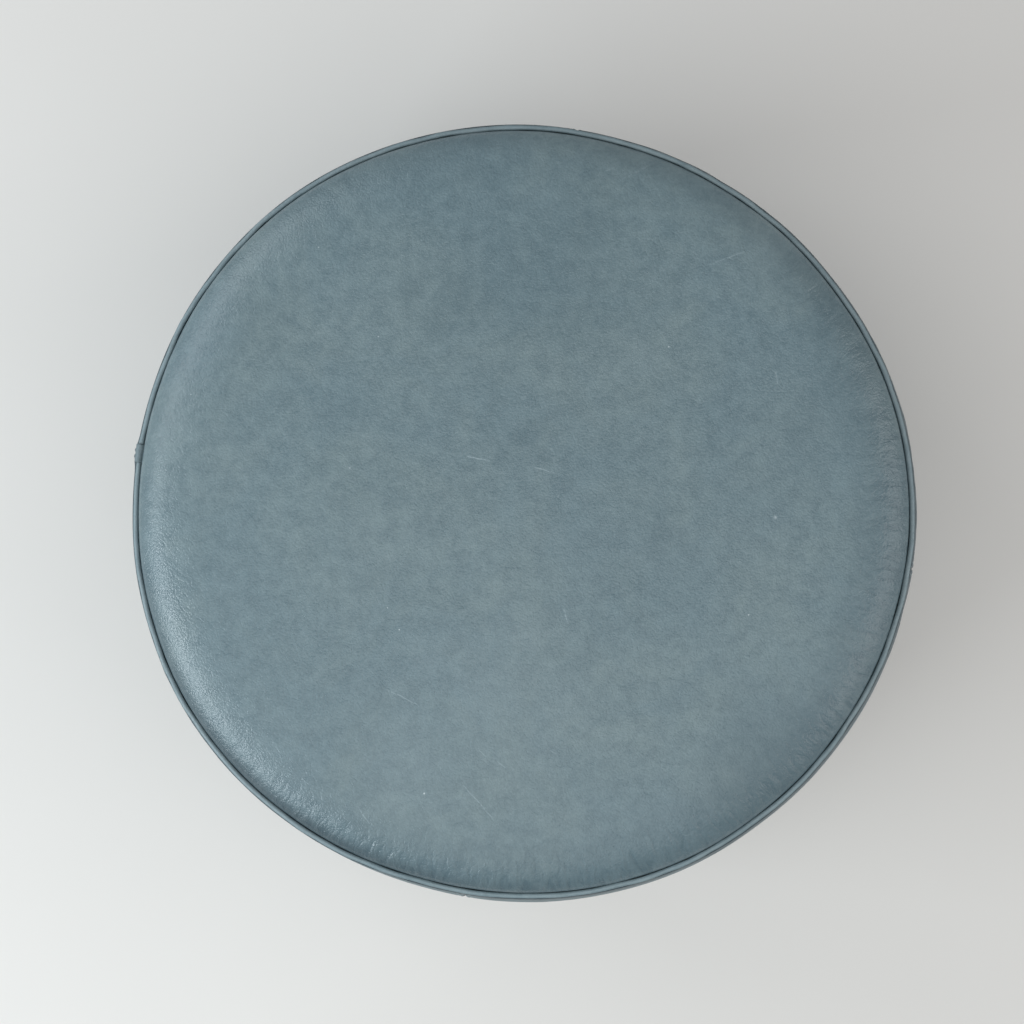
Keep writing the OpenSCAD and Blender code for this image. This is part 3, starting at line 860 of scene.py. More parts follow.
def top_line():
    """The seat's section from its middle to the crease: arcs, each from one slope to the next."""
    arcs = ((110 * MM, 4, 15, 16), (40 * MM, 15, 40, 18), (8 * MM, 40, 90, 13))
    taken = 0.0
    for radius, start, end, count in arcs:
        taken += radius * (math.sin(math.radians(end)) - math.sin(math.radians(start)))
    flat = (PANEL_OUT - taken) / math.sin(math.radians(4))
    reach, height = [], []
    x, z = 0.0, TOP_Z
    for radius, start, end, count in ((flat, 0, 4, 62), *arcs):
        first = math.radians(start)
        slopes = np.radians(np.linspace(max(start, 0.06), end, count))
        if start:
            slopes = slopes[1:]
        reach.append(x + radius * (np.sin(slopes) - math.sin(first)))
        height.append(z - radius * (math.cos(first) - np.cos(slopes)))
        x, z = reach[-1][-1], height[-1][-1]
    down = np.array([1.5, 3.5, 6.0, 9.0]) * MM
    reach.append(np.full(4, PANEL_OUT))
    height.append(z - down)
    return np.concatenate(reach), np.concatenate(height)


def along_line(reach, height):
    """Distance along the seat's section from its middle."""
    return np.concatenate([[0], np.cumsum(np.hypot(np.diff(reach), np.diff(height)))])


def seat_dip(x, y):
    """The slow unevenness of the filling under the seat."""
    places = np.stack([x, y, np.zeros_like(x)], -1)
    slow = 0.9 * lumps(places, 0.085, 3) + 0.35 * lumps(places, 0.034, 4)
    return slow * MM - 1.2 * MM * np.exp(-((x * x + y * y) / 0.11**2))


def sewn_patch(name, grid, joined_middle, held, eased):
    """A coarse trial piece of cover, sewn where held is 1, with a little more leather where eased."""
    rows, cols = grid.shape[:2]
    points = grid.reshape(-1, 3)
    faces = [net(rows, cols, True)]
    if joined_middle:
        points = np.concatenate([points, [grid[0].mean(0)]])
        ring = np.arange(cols)
        faces.append(np.stack([np.full(cols, rows * cols), ring, np.roll(ring, -1)], -1))
    out = facing(grid, True).reshape(-1, 3)
    face = faces[0][len(faces[0]) // 2]
    turn = np.cross(points[face[1]] - points[face[0]], points[face[3]] - points[face[0]])
    if np.dot(turn, out[face[0]]) < 0:
        faces = [faces[0][:, ::-1]] + faces[1:]
    piece = mesh_object(name, points, faces)
    sewn = piece.vertex_groups.new(name="sewn")
    weights = np.append(held.ravel(), held.ravel()[0]) if joined_middle else held.ravel()
    for k, weight in enumerate(weights):
        if weight > 0.01:
            sewn.add([k], float(weight), "REPLACE")
    piece.shape_key_add(name="Basis")
    cut = piece.shape_key_add(name="cut")
    loose = points.copy()
    loose[: rows * cols] += out * eased.reshape(-1, 1)
    cut.data.foreach_set("co", loose.ravel())
    cut.value = 0.0
    cloth = piece.modifiers.new("settle", "CLOTH")
    made = cloth.settings
    made.quality = 5
    made.mass = 0.4
    made.tension_stiffness = made.compression_stiffness = 45
    made.shear_stiffness = 20
    made.bending_stiffness = 2.5
    made.air_damping = 3
    made.vertex_group_mass = "sewn"
    made.pin_stiffness = 1.0
    made.rest_shape_key = cut
    made.use_pressure = True
    made.uniform_pressure_force = 1.0
    made.effector_weights.gravity = 0
    cloth.collision_settings.use_collision = False
    cloth.collision_settings.use_self_collision = False
    cloth.point_cache.frame_start = 1
    cloth.point_cache.frame_end = SETTLING_STEPS
    return piece


def settle(patches):
    """Runs the leather of all the trial patches to rest, and gives each point's move."""
    scene = bpy.context.scene
    for step in range(1, SETTLING_STEPS + 1):
        scene.frame_set(step)
    graph = bpy.context.evaluated_depsgraph_get()
    moves = []
    for piece, grid in patches:
        done = piece.evaluated_get(graph).data
        flat = np.empty(len(done.vertices) * 3, np.float32)
        done.vertices.foreach_get("co", flat)
        final = flat.reshape(-1, 3)[: grid.shape[0] * grid.shape[1]].reshape(grid.shape)
        moved = ((final - grid) * facing(grid, True)).sum(-1)
        moves.append(LOOSEST * np.tanh(np.nan_to_num(moved) / LOOSEST))
    for piece, grid in patches:
        bpy.data.objects.remove(piece, do_unlink=True)
    scene.frame_set(1)
    return moves


def spread_out(table, lines, want_line, want_turn):
    """Reads a settled patch at any place: by distance along its section, and by turn."""
    rows, cols = table.shape
    i = np.clip(np.interp(want_line, lines, np.arange(rows)), 0, rows - 1.001)
    j = (want_turn % (2 * math.pi)) / (2 * math.pi) * cols
    i0 = np.floor(i).astype(int)
    j0 = np.floor(j).astype(int)
    fi = i - i0
    fj = ease(j - j0, 0, 1)
    j1 = (j0 + 1) % cols
    j0 = j0 % cols
    upper = table[i0, j0] * (1 - fj) + table[i0, j1] * fj
    lower = table[i0 + 1, j0] * (1 - fj) + table[i0 + 1, j1] * fj
    return upper * (1 - fi) + lower * fi


def settled_cover():
    """The seat and the side settle over their filling, each sewn down round its rims."""
    cols = 264
    turn = full_turn(cols)
    reach, height = top_line()
    line = along_line(reach, height)[:-4]
    total = line[-1]
    seat_lines = total - np.concatenate([np.linspace(total - 0.004, 0.066, 12), np.linspace(0.060, 0, 16)])
    r = np.interp(seat_lines, line, reach[:-4])[:, None] + np.zeros(cols)
    z = np.interp(seat_lines, line, height[:-4])[:, None] + np.zeros(cols)
    seat = round_centre(r, turn, z)
    gap = (total - seat_lines)[:, None]
    held = np.where(gap < 0.001, 1.0, 0.10 + 0.5 * ease(gap, 0.03, 0.09)) + np.zeros(cols)
    fullness = 0.5 + 0.5 * wander(turn, 2, 9, 21)
    seat_ease = 2.6 * MM * np.clip(fullness, 0.15, 1.6) * bell(gap - 0.012, 0.016)
    patches = [(sewn_patch("seat_trial", seat, True, held, seat_ease), seat)]
    level = np.linspace(FOLD_TOP, FOLD_LOW, 50)
    r = side_reach(level)[:, None] + np.zeros(cols)
    z = level[:, None] + np.zeros(cols)
    side = round_centre(r, turn, z)
    rim_gap = np.minimum(FOLD_TOP - level, level - FOLD_LOW)[:, None]
    seam = from_seam(turn) * SIDE_R
    held = np.where(rim_gap < 0.001, 1.0, 0.06 + 0.5 * bell(seam, 0.006))
    fullness = 0.5 + 0.5 * wander(turn, 3, 11, 41)
    side_ease = 3.4 * MM * np.clip(fullness, 0.15, 1.6) * bell(rim_gap - 0.018, 0.026)
    patches.append((sewn_patch("side_trial", side, False, held, side_ease), side))
    moves = settle(patches)
    return (seat_lines, moves[0]), (level[::-1], moves[1][::-1])


def seat_top():
    turns = 720
    turn = full_turn(turns)
    reach, height = top_line()
    along = along_line(reach, height)
    inside = along[-5] - along
    r = reach[:, None] + np.zeros(turns)
    z = height[:, None] + np.zeros(turns)
    grow = ease(r, 0.05, 0.20)
    r = r + out_of_round(turn) * grow
    above = ease(inside, -0.0005, 0.004)[:, None]
    # Filling shows through the leather as slow, shallow unevenness.
    z = z + above * seat_dip(r * np.cos(turn), r * np.sin(turn))
    # Leather drawn into the rim seam puckers across it and smooths out within a few centimetres.
    loose = ease(wander(turn, 2, 9, 21), -0.6, 1.3)
    d = np.maximum(inside, 0)[:, None]
    fine = wander(turn, 90, 190, 22) * np.exp(-d / 0.0075)
    broad = wander(turn, 34, 80, 23) * np.exp(-d / 0.020)
    pull = ease(d, 0.0, 0.003) * (0.25 + 0.75 * loose)
    z = z + pull * (0.10 * fine + 0.16 * broad) * MM
    # A deeper tuck where the piping's ends meet.
    away = from_sleeve(turn)
    tuck = bell(away * RIM_R, 0.006) * bell(d - 0.004, 0.006)
    z = z - 0.5 * MM * tuck
    grid = round_centre(r, turn, z)
    if SETTLED:
        lines, table = SETTLED[0]
        lift = spread_out(table, lines, (along[-5] - d) + 0 * turn, turn + 0 * d)
        grid = grid + facing(grid, True) * (lift * ease(d, 0.0, 0.002))[..., None]
    piece = leather_sheet("seat_top", grid, LEATHER, True, every=6, capped=True)
    # Painted shade in the crease at the rim.
    deep = ((1 - ease(inside, 0.0004, 0.0020)) * 0.34)[:, None]
    # A band just inside the rim is darkened as well, most at the front left.
    front_left_band = bell(turn - math.radians(230), math.radians(40))
    deep = np.maximum(deep, 0.66 * (1 - ease(inside, 0.0060, 0.0165))[:, None] * front_left_band)
    shade = np.zeros(len(piece.data.vertices))
    shade[: grid.shape[0] * turns] = deep.ravel()
    store(piece, "tuck", shade)
    dress(piece, SEAT_LEATHER, ["top_panel"])
    return piece


# ---------------------------------------------------------------- the piping


def rim_path(turn, height, seed, sway):
    """The line that the piping's cord follows round a rim."""
    reach = RIM_R + out_of_round(turn) * sway + 0.12 * MM * wander(turn, 12, 60, seed)
    level = height + 0.30 * MM * wander(turn, 2, 10, seed + 1) + 0.10 * MM * wander(turn, 20, 60, seed + 2)
    return reach, level


def piping_fold_shade(angle):
    """How much painted shade each side of the piping gets in its folds; 0 faces out and a quarter turn
    faces up.
    """
    a = (np.degrees(angle) + 90) % 360 - 90
    return np.maximum(ease(a, 142, 172), 1 - ease(a, -12, 18)) * 0.60


def piping(name, height, seed, sway, up, node):
    turns = 2400
    around = 16
    turn = full_turn(turns)
    reach, level = rim_path(turn, height, seed, sway)
    angle = full_turn(around)
    # The leather creases across the cord at uneven distances.
    chance = np.random.default_rng(seed + 7)
    crease = np.zeros(turns)
    for place in chance.uniform(0, turns, 210):
        gap = (np.arange(turns) - place + turns / 2) % turns - turns / 2
        crease = crease + chance.uniform(0.2, 1.0) * bell(gap, 1.1)
    side = chance.uniform(0, 2 * math.pi, turns)
    side = np.cumsum(side - side.mean()) * 0.04
    thick = PIPING_R * (1 + 0.030 * wander(turn, 20, 120, seed + 3))
    uneven = 1 - 0.060 * np.minimum(crease, 1.2)[:, None] * (0.55 + 0.45 * np.cos(angle - side[:, None]))
    size = thick[:, None] * uneven
    r = reach[:, None] + size * np.cos(angle)
    z = level[:, None] + size * np.sin(angle) * up
    grid = round_centre(r, turn[:, None], z)
    piece = tube(name, grid)
    # The crown is paler from rubbing and a painted highlight; both folds get painted shade.
    store(piece, "crown", ease(np.sin(angle - 0.30), 0.2, 0.9) + np.zeros((turns, 1)))
    store(piece, "tuck", piping_fold_shade(angle) + np.zeros((turns, 1)))
    return dress(piece, PIPING_LEATHER, [node])


def piping_sleeve(name, height, seed, sway, up, node):
    """The strip folded over the meeting ends of the piping, thicker and a little askew."""
    half = SLEEVE_HALF / RIM_R
    rows = 44
    cols = 26
    turn = SEAM_TURN + np.linspace(-half, half, rows)
    reach, level = rim_path(turn, height, seed, sway)
    angle = np.radians(np.linspace(-75, 145, cols)[::up])
    t = np.linspace(-1, 1, rows)[:, None]
    ends = ease(1 - np.abs(t), 0.0, 0.10)
    bulge = 1 - 0.14 * t + 0.05 * np.sin(5 * t + 1) + 0.45 * np.maximum(np.cos(angle - 0.4), 0)
    size = PIPING_R + (0.15 + 0.85 * ends * bulge) * 0.80 * MM
    places = np.stack([t * 8 + 0 * angle, angle * 3 + 0 * t, 0 * t + 0 * angle], -1)
    size = size + 0.07 * MM * lumps(places, 1.3, seed)
    r = reach[:, None] + size * np.cos(angle)
    z = level[:, None] + size * np.sin(angle) * up
    grid = round_centre(r, turn[:, None], z)
    piece = leather_sheet(name, grid, 0.62 * MM, False)
    exposed = ease(np.sin(angle), 0.2, 1.0) + np.zeros((rows, 1))
    store(piece, "crown", np.tile(exposed.ravel(), 2))
    # Painted shade in the sleeve's folds and at its ends, and a darker tone all over.
    sleeve_shade_and_tone = np.maximum(piping_fold_shade(angle) + 0 * t, 0.85 * (1 - ease(1 - np.abs(t), 0.02, 0.11)))
    sleeve_shade_and_tone = np.maximum(sleeve_shade_and_tone, 0.26)
    store(piece, "tuck", np.tile(sleeve_shade_and_tone.ravel(), 2))
    return dress(piece, PIPING_LEATHER, [node])


# ---------------------------------------------------------------- the side


def side_reach(z):
    """How far the plain side stands from the centre line at a height."""
    chord = FOLD_TOP - FOLD_LOW
    arc = chord * chord / (8 * BULGE) + BULGE / 2
    middle = (FOLD_TOP + FOLD_LOW) / 2
    return SIDE_R + BULGE - arc + np.sqrt(arc * arc - (z - middle) ** 2)


def side_sway(turn, z):
    """The slow unevenness of the stuffed side: out of round, a slight lean, and lumps."""
    share = (z - FOLD_LOW) / (FOLD_TOP - FOLD_LOW)
    r = side_reach(z)
    places = round_centre(r, turn, z)
    free = ease(share, 0.0, 0.12) * ease(1 - share, 0.0, 0.40)
    lean = 0.6 * MM * np.cos(turn + math.radians(30)) * ease(1 - share, 0.0, 0.12) * ease(share, 0.0, 0.3)
    drawn_in = 1.45 + 0.9 * np.maximum(np.cos(turn - math.radians(262)), 0) ** 2
    slack = -drawn_in * MM * bell(share - 0.84, 0.10)
    lumpy = free * (1.3 * lumps(places, 0.110, 31) + 0.5 * lumps(places, 0.045, 32)) * MM
    return out_of_round(turn) * (FOOT_SHARE + (1 - FOOT_SHARE) * share) + lean + slack + lumpy


def rolled_in(u):
    """How far the leather rolls in beside a seam that is u away."""
    near = np.clip(ROLL - u, 0, ROLL)
    return 0.60 * (ROLL - np.sqrt(np.maximum(ROLL * ROLL - near * near, 0)))


def side_shape(turn, z, u):
    """Distance from the centre line for the finished side; u is the distance from the nearest seam."""
    r = side_reach(z) + side_sway(turn, z)
    if SETTLED:
        level, table = SETTLED[1]
        r = r + spread_out(table, level, z, turn) * ease(np.minimum(FOLD_TOP - z, z - FOLD_LOW), 0, 0.003)
    # Fullness gathered into the two rims.
    loose_top = ease(wander(turn, 3, 11, 41), -0.8, 1.2)
    loose_low = ease(wander(turn, 3, 11, 42), -0.8, 1.2)
    top_gap = np.maximum(FOLD_TOP - z, 0)
    low_gap = np.maximum(z - FOLD_LOW, 0)
    for gap, fine_seed, broad_seed, loose, reach_in, broad, starts in (
        (top_gap, 43, 44, loose_top, 0.030, 1.2, 0.024),
        (low_gap, 45, 46, loose_low, 0.036, 2.4, 0.006),
    ):
        gather = wander(turn, 60, 150, fine_seed) * np.exp(-gap / 0.013)
        gather = gather + broad * wander(turn, 20, 52, broad_seed) * np.exp(-gap / reach_in)
        r = r + 0.24 * MM * (0.3 + 0.7 * loose) * gather * ease(gap, 0.0, starts)
    # A roll into the seam, and the shallow channel that the stitching pulls.
    r = r - rolled_in(u)
    r = r - 0.26 * MM * bell(u - STITCH_IN, 0.9 * MM)
    r = r + 0.20 * MM * bell(u - 2.1 * MM, 0.8 * MM)
    # The piping's ends and the seam pile up under the sleeve.
    away = from_sleeve(turn)
    r = r + 1.5 * MM * bell(away * SIDE_R, 0.007) * bell(top_gap - 0.006, 0.009)
    tug = np.cos(z / (4.0 * MM) * 2 * math.pi) * bell(u - 4.6 * MM, 1.6 * MM)
    return r - 0.07 * MM * tug


def side_panel(number, name, node):
    start = SEAM_TURN + number * math.pi / 2
    width = math.pi / 2 * SIDE_R
    near = np.concatenate([np.linspace(0.05, 1.9, 7), np.linspace(2.3, 8.3, 16)]) * MM
    middle = np.linspace(8.3 * MM, width - 8.3 * MM, 172)[1:-1]
    across = np.concatenate([near, middle, (width - near)[::-1]])
    turn = start + across / SIDE_R
    u = np.minimum(across, width - across)
    fold = np.radians(np.linspace(180, 0, 8))[:-1]
    lines = np.linspace(FOLD_TOP, FOLD_LOW, 112)
    upper = np.stack([FOLD_MID + FOLD_R * np.cos(fold), FOLD_TOP + FOLD_R * np.sin(fold)], -1)
    lower = np.stack([FOLD_MID + FOLD_R * np.cos(-fold[::-1]), FOLD_LOW + FOLD_R * np.sin(-fold[::-1])], -1)
    rows = []
    tucked = rolled_in(u)
    for r, z in upper:
        rows.append(np.stack([r + out_of_round(turn) - tucked, z + 0 * turn], -1))
    for z in lines:
        rows.append(np.stack([side_shape(turn, z + 0 * turn, u), z + 0 * turn], -1))
    for r, z in lower:
        rows.append(np.stack([r + FOOT_SHARE * out_of_round(turn) - tucked, z + 0 * turn], -1))
    section = np.array(rows)
    r, z = section[..., 0], section[..., 1]
    piece = leather_sheet(name, round_centre(r, turn, z), LEATHER * 0.9, False)
    # Painted shade in the folds at both rims, beside the seams, and over the top few centimetres of the
    # side.
    to_fold = np.minimum(FOLD_TOP - z, z - FOLD_LOW) + 0.8 * MM
    deep = 1 - ease(to_fold, 0, 0.0030)
    deep = np.maximum(deep, 1 - ease(u, 0.0, 0.0012)) * 0.8
    deep = np.maximum(deep, 0.60 * (1 - ease(FOLD_TOP - z, 0.012, 0.055)))
    store(piece, "tuck", np.tile(deep.ravel(), 2))
    dress(piece, PANEL_LEATHER, [node])
    return piece


def stitch_run(points, outward, along, length, thick):
    """Short arched threads, one at each point, as one set of closed shapes."""
    rings, around = 7, 6
    t = np.linspace(-1, 1, rings)
    wide = thick / 2 * np.sqrt(np.maximum(1 - (np.abs(t) ** 4), 0.04))
    rise = 0.38 * thick * (1 - t * t) - 0.22 * thick
    side = np.cross(along, outward)
    angle = full_turn(around)
    centre = points[:, None, :] + along[:, None, :] * (t * length / 2)[None, :, None]
    centre = centre + outward[:, None, :] * rise[None, :, None]
    ring = outward[:, None, None, :] * (wide[None, :, None] * np.sin(angle))[..., None] * 0.8
    ring = ring + side[:, None, None, :] * (wide[None, :, None] * np.cos(angle))[..., None]
    shape = centre[:, :, None, :] + ring
    count = len(points)
    flat = shape.reshape(-1, 3)
    one = net(rings, around, True)
    caps = np.array([[0, 1, 2, 3], [0, 3, 4, 5]])
    ends = np.concatenate([caps[:, ::-1], caps + (rings - 1) * around])
    shift = (np.arange(count) * rings * around)[:, None, None]
    faces = (one[None] + shift).reshape(-1, 4)
    lids = (ends[None] + shift).reshape(-1, 4)
    return flat, [faces, lids]


def side_stitching():
    pitch = 4.0 * MM
    count = int((FOLD_TOP - FOLD_LOW - 8 * MM) / pitch)
    z = FOLD_LOW + 4 * MM + pitch * (np.arange(count) + 0.5)
    chance = np.random.default_rng(61)
    points, outward, along = [], [], []
    for number in range(4):
        for row in (-1, 1):
            u = STITCH_IN + chance.normal(0, 0.05 * MM, count)
            turn = SEAM_TURN + number * math.pi / 2 + row * u / SIDE_R
            r = side_shape(turn, z, u)
            up = side_shape(turn, z + 1 * MM, u)
            down = side_shape(turn, z - 1 * MM, u)
            place = round_centre(r, turn, z)
            lean = round_centre(up - down, turn, np.full(count, 2 * MM))
            lean = lean / np.linalg.norm(lean, axis=-1, keepdims=True)
            tangent = np.stack([-np.sin(turn), np.cos(turn), 0 * turn], -1)
            points.append(place)
            along.append(lean)
            outward.append(np.cross(tangent, lean))
    places, outward, along = (np.concatenate(parts) for parts in (points, outward, along))
    flat, faces = stitch_run(places, outward, along, 3.2 * MM, 0.72 * MM)
    piece = mesh_object("side_stitches", flat, turned_outward(flat, faces))
    return dress(piece, THREAD, ["side_stitching"])


def seam_tape(number):
    """The cloth tape stuck behind a side seam, following the leather it backs."""
    node = "side_seam_tape_%d" % (number + 1)
    low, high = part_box(node)
    half = TAPE_HALF / SIDE_R
    across = SEAM_TURN + number * math.pi / 2 + np.linspace(-half, half, 17)
    turn, level = np.meshgrid(across, np.linspace(high.z, low.z, 90))
    clear_of_seam = np.full(turn.shape, 20 * MM)
    r = side_shape(turn, level, clear_of_seam) - 2 * LEATHER - 0.1 * MM
    grid = round_centre(r, turn, level)
    piece = leather_sheet("seam_tape_%d" % (number + 1), grid, 0.37 * MM, False)
    return dress(piece, COTTON_TAPE, [node])


SETTLED = settled_cover()
seat_top()
for end, rim in (("top", (RIM_Z, TOP_SEED, 1.0, 1)), ("bottom", (FOOT_Z, FOOT_SEED, FOOT_SHARE, -1))):
    piping(end + "_piping", *rim, end + "_piping_cover")
    piping_sleeve(end + "_piping_join", *rim, end + "_piping_sleeve")
for number, where in enumerate(("front_left", "front_right", "back_right", "back_left")):
    side_panel(number, "side_" + where, "side_panel_" + where)
    seam_tape(number)
side_stitching()


# ---------------------------------------------------------------- the base and its zip

zip_low, zip_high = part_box("zip_tape_back")
SLOT_END = zip_high.x - 3 * MM
SLOT_HALF = 5.6 * MM
RECESS = zip_low.z - 1.4 * MM
ROW_OUT = 7.9 * MM


def base_half(name, node, side):
    """Half of the base leather, from the zip's slot out to the turn up behind the piping."""
    cols = 300
    theta = np.linspace(0, math.pi, cols)
    turn_up = 6 * MM
    flat_out = PANEL_OUT - turn_up
    shares = np.concatenate([np.linspace(0, 0.16, 22), np.linspace(0.16, 1, 46)[1:]])
    rows = []
    for share in shares:
        inner_x = (SLOT_END + 1 * MM) * np.cos(theta)
        x = inner_x + share * (flat_out * np.cos(theta) - inner_x)
        at_end = bell(np.sin(theta), 0.05)
        slot = SLOT_HALF * (1 - ease(np.abs(x), SLOT_END - 0.5 * MM, SLOT_END + 4 * MM) * at_end)
        y = slot * (1 - share) + 0.06 * MM * share + share * flat_out * np.sin(theta)
        rows.append(np.stack([x, y, 0 * x], -1))
    for bend in np.radians(np.linspace(0, 90, 9))[1:]:
        r = flat_out + turn_up * math.sin(bend)
        level = np.full(cols, turn_up * (1 - math.cos(bend)))
        rows.append(np.stack([r * np.cos(theta), np.maximum(r * np.sin(theta), 0.06 * MM), level], -1))
    for rise in (3 * MM, 7 * MM, 10 * MM):
        rows.append(rows[-1] * [1, 1, 0] + [0, 0, turn_up + rise])
    grid = np.array(rows)
    x, y, z = grid[..., 0], grid[..., 1], grid[..., 2]
    out = np.hypot(x, y)
    far = np.hypot(np.maximum(np.abs(x) - 170 * MM, 0) * 0.82, np.maximum(y - 12 * MM, 0))
    z = z + RECESS * (1 - ease(far, 0, 18 * MM)) * (1 - ease(out, 0.196, 0.214))
    # Small tucks round the rim, and slow lumps, never below the floor.
    sign = np.stack([x, y * side, 0 * x], -1)
    uneven = 0.30 + 0.22 * lumps(sign, 0.050, 91) + 0.12 * lumps(sign, 0.016, 92)
    around = np.arctan2(y, x)
    puckers = 0.16 * wander(around * 2, 30, 80, 93) * ease(out, 0.18, 0.212)
    z = z + MM * (uneven + puckers) * ease(z, -0.002, 0.0005) * (1 - ease(out, flat_out - 0.001, PANEL_OUT))
    z = np.maximum(z, 0.05 * MM)
    grown = out_of_round(around * side) * FOOT_SHARE * ease(out, 0.12, 0.20)
    r_scale = 1 + grown / np.maximum(out, 0.01)
    grid = np.stack([x * r_scale, y * r_scale * side, z], -1)
    if side > 0:
        grid = grid[:, ::-1]
    piece = leather_sheet(name, grid, LEATHER, False)
    edge = np.zeros(grid.shape[:2])
    edge[:2] = 0.5
    store(piece, "tuck", np.tile(edge.ravel(), 2))
    dress(piece, BASE_LEATHER, [node])
    return piece


def zip_stitching():
    """A row of stitches along each side of the slot, and across both its ends."""
    pitch = 3.2 * MM
    chance = np.random.default_rng(97)
    points, along = [], []
    run = np.arange(-SLOT_END + 2 * MM, SLOT_END - 1 * MM, pitch) + pitch / 2
    for side in (-1, 1):
        y = side * ROW_OUT + chance.normal(0, 0.06 * MM, len(run))
        points.append(np.stack([run, y, 0 * run], -1))
        along.append(np.tile([1.0, 0.0, 0.0], (len(run), 1)))
    cross = np.arange(-6.2 * MM, 6.3 * MM, pitch * 0.97)
    for end in (-1, 1):
        points.append(np.stack([0 * cross + end * (SLOT_END + 1.6 * MM), cross, 0 * cross], -1))
        along.append(np.tile([0.0, 1.0, 0.0], (len(cross), 1)))
    points = np.concatenate(points)
    points[:, 2] = RECESS - 0.12 * MM
    along = np.concatenate(along)
    down = np.tile([0.0, 0.0, -1.0], (len(points), 1))
    flat, faces = stitch_run(points, down, along, 2.6 * MM, 0.60 * MM)
    piece = mesh_object("zip_stitches", flat, turned_outward(flat, faces))
    return dress(piece, THREAD, ["zip_stitching"])


base_half("base_front", "base_panel_front", -1)
base_half("base_back", "base_panel_back", 1)
zip_stitching()


# ---------------------------------------------------------------- cord, bag and filling


def twisted_cord(name, height, seed, sway, node):
    """Three strands laid round each other, inside the piping."""
    turns = 2800
    around = 12
    turn = full_turn(turns)
    reach, level = rim_path(turn, height, seed, sway)
    angle = full_turn(around)
    lay = 1 + 0.11 * np.cos(3 * angle - (turn * 235)[:, None])
    size = cord_r * 0.88 * lay
    r = reach[:, None] + size * np.cos(angle)
    z = level[:, None] + size * np.sin(angle)
    grid = round_centre(r, turn[:, None], z)
    return dress(tube(name, grid), COTTON_TAPE, [node])


def pressed(points):
    """Where the filling lies once the uneven cover holds it."""
    x, y, z = points[:, 0], points[:, 1], points[:, 2]
    out = np.hypot(x, y)
    turn = np.arctan2(y, x)
    near_top = ease(z, 0.200, 0.262)
    dip = (seat_dip(x, y) - 0.5 * MM) * near_top
    level = np.clip(z, FOLD_LOW + 2 * MM, FOLD_TOP - 2 * MM)
    seam = from_seam(turn) * out
    shift = side_sway(turn, level) - 0.6 * MM - 1.9 * MM * bell(seam, 0.010)
    top_shift = out_of_round(turn) - 0.4 * MM
    shift = np.where(z > FOLD_TOP - 4 * MM, top_shift, shift) * ease(out, 0.10, 0.205)
    scale = 1 + shift / np.maximum(out, 0.02)
    return np.stack([x * scale, y * scale, z + dip], -1)


def filling(node, name, material, voxel, rough):
    """A bag or pad that has taken the shape of the cover it is packed into."""
    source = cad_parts[node]
    mesh = bpy.data.meshes.new_from_object(source)
    mesh.name = name
    piece = bpy.data.objects.new(name, mesh)
    bpy.context.scene.collection.objects.link(piece)
    if voxel:
        soft = piece.modifiers.new("soft", "REMESH")
        soft.mode = "VOXEL"
        soft.voxel_size = voxel
        soft.use_smooth_shade = True
        done = bpy.data.meshes.new_from_object(piece.evaluated_get(bpy.context.evaluated_depsgraph_get()))
        piece.modifiers.clear()
        piece.data = done
        mesh = done
    flat = np.empty(len(mesh.vertices) * 3, np.float32)
    mesh.vertices.foreach_get("co", flat)
    points = flat.reshape(-1, 3).astype(float)
    if voxel:
        way = np.empty(len(mesh.vertices) * 3, np.float32)
        mesh.vertices.foreach_get("normal", way)
        inward = 0.5 * (1 + 0.6 * lumps(points, 0.030, 101) + 0.4 * lumps(points, 0.011, 102))
        points = points - way.reshape(-1, 3) * (rough * np.clip(inward, 0, 1))[:, None]
    points = pressed(points)
    mesh.vertices.foreach_set("co", points.astype(np.float32).ravel())
    mesh.update()
    mesh.materials.clear()
    dress(piece, material, [node])
    return piece


twisted_cord("top_cord", RIM_Z, TOP_SEED, 1.0, "top_piping_cord")
twisted_cord("bottom_cord", FOOT_Z, FOOT_SEED, FOOT_SHARE, "bottom_piping_cord")
for node, name, fill in (
    ("liner_top", "bag_top", 0.95),
    ("liner_side", "bag_side", 0.95),
    ("liner_base", "bag_base", 0.95),
):
    filling(node, name, CALICO, 0, 0)
for node, name, fill in (("top_wadding", "seat_wadding", 0.8), ("side_wadding", "wall_wadding", 0.8)):
    filling(node, name, WADDING, 0.004, 1.6 * MM)
for node, name, fill in (
    ("foam_topper", "soft_foam", 0.9),
    ("foam_core", "middle_foam", 0.95),
    ("foam_base", "firm_foam", 1.0),
):
    filling(node, name, FOAM, 0.006, 0.8 * MM)


# ---------------------------------------------------------------- pieces kept as the frame has them

for node, material in (
    ("zip_tape_front", ZIP_TAPE),
    ("zip_tape_back", ZIP_TAPE),
    ("zip_teeth_front", BRASS),
    ("zip_teeth_back", BRASS),
    ("zip_top_stops", BRASS),
    ("zip_bottom_stop", BRASS),
    ("zip_slider", BRASS),
    ("zip_pull", BRASS),
):
    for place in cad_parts[node].material_slots:
        place.material = material


# ---------------------------------------------------------------- floor, light and camera


def pale_floor():
    floor = mesh_object(
        "floor", np.array([[-4, -4, 0], [4, -4, 0], [4, 4, 0], [-4, 4, 0]], float),
        [np.array([[0, 1, 2, 3]])], False,
    )
    material, tree, shader, place = new_material("pale floor")
    tone = noise(tree, place, 3.0, 3.0)
    colour = blend_colour(tree, tone, (0.62, 0.60, 0.575, 1.0), (0.66, 0.64, 0.615, 1.0))
    paint(tree, shader, colour, 0.7)
    floor.data.materials.append(material)


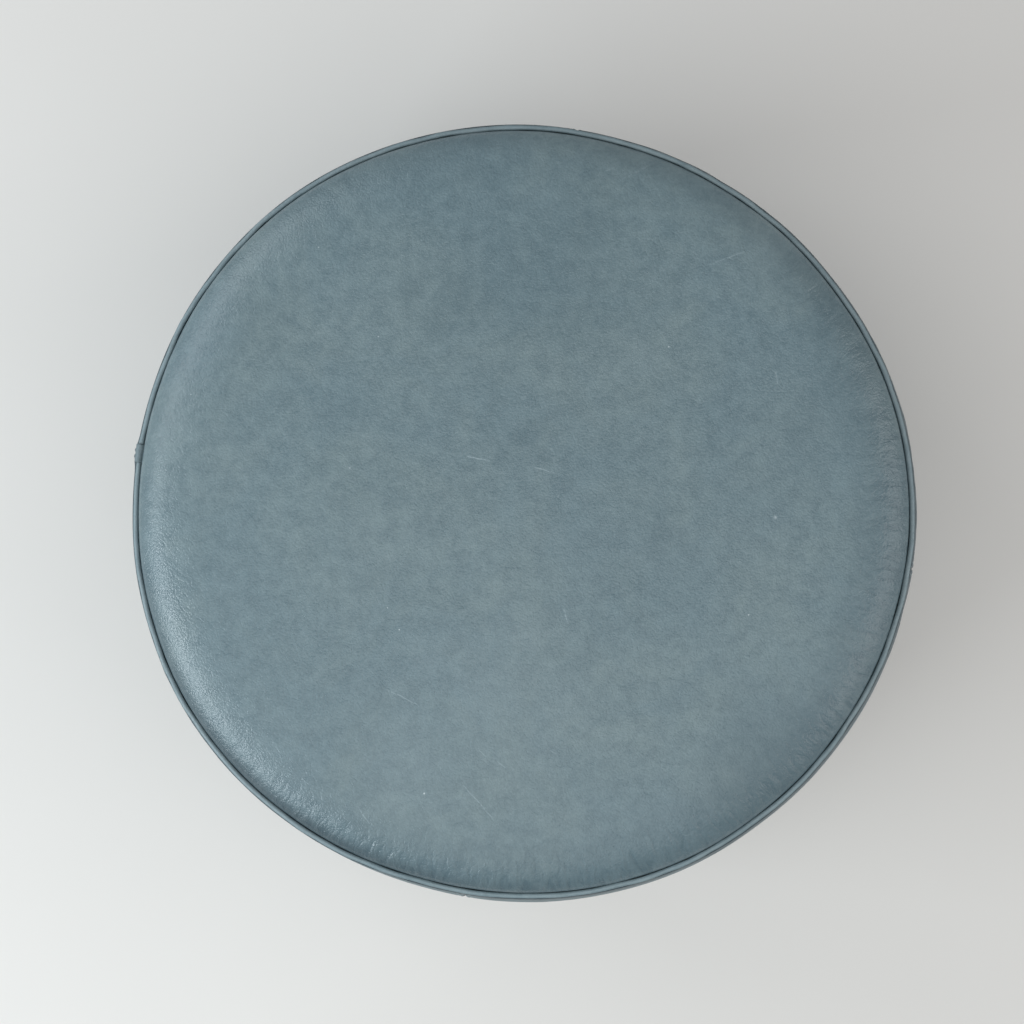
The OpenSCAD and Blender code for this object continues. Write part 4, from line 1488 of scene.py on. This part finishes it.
def soft_light(name, turn, rise, distance, size, watts, warmth):
    """A square of soft light, placed by its direction from the pouf and its height."""
    lamp = bpy.data.lights.new(name, "AREA")
    lamp.shape = "RECTANGLE"
    lamp.size, lamp.size_y = size
    lamp.energy = watts
    lamp.color = warmth
    holder = bpy.data.objects.new(name, lamp)
    a, e = math.radians(turn), math.radians(rise)
    way = Vector((math.cos(a) * math.cos(e), math.sin(a) * math.cos(e), math.sin(e)))
    holder.location = Vector((0, 0, 0.2)) + way * distance
    holder.rotation_euler = (-way).to_track_quat("-Z", "Y").to_euler()
    bpy.context.scene.collection.objects.link(holder)


def studio():
    pale_floor()
    soft_light("window", 205, 29, 1.9, (1.4, 0.4), 25, (0.86, 0.95, 1.0))
    soft_light("far_window", 148, 31, 1.9, (1.3, 0.8), 10.2, (0.93, 0.97, 1.0))
    soft_light("ceiling", 268, 66, 2.1, (2.2, 2.2), 16.5, (1.0, 0.98, 0.95))
    soft_light("room", 350, 28, 2.4, (2.4, 1.2), 23.5, (0.98, 0.98, 0.97))
    world = bpy.data.worlds.new("room")
    world.use_nodes = True
    world.node_tree.nodes["Background"].inputs["Color"].default_value = (0.80, 0.84, 0.88, 1.0)
    world.node_tree.nodes["Background"].inputs["Strength"].default_value = 0.42
    bpy.context.scene.world = world
    bpy.context.scene.view_settings.view_transform = "Standard"


def overhead_camera():
    """Standing over the pouf, a little to its right and towards its front."""
    lens = bpy.data.cameras.new("overhead")
    lens.sensor_width = 36.0
    lens.lens = 74.22
    lens.clip_start = 0.05
    camera = bpy.data.objects.new("overhead", lens)
    stand = Vector((0.026, -0.028, RIM_Z + 1.22))
    aim = Vector((-0.0046, -0.0013, RIM_Z))
    back = (stand - aim).normalized()
    right = Vector((0, 1, 0)).cross(back).normalized()
    up = back.cross(right)
    camera.matrix_world = Matrix.Translation(stand) @ Matrix((right, up, back)).transposed().to_4x4()
    bpy.context.scene.collection.objects.link(camera)
    bpy.context.scene.camera = camera


studio()
overhead_camera()
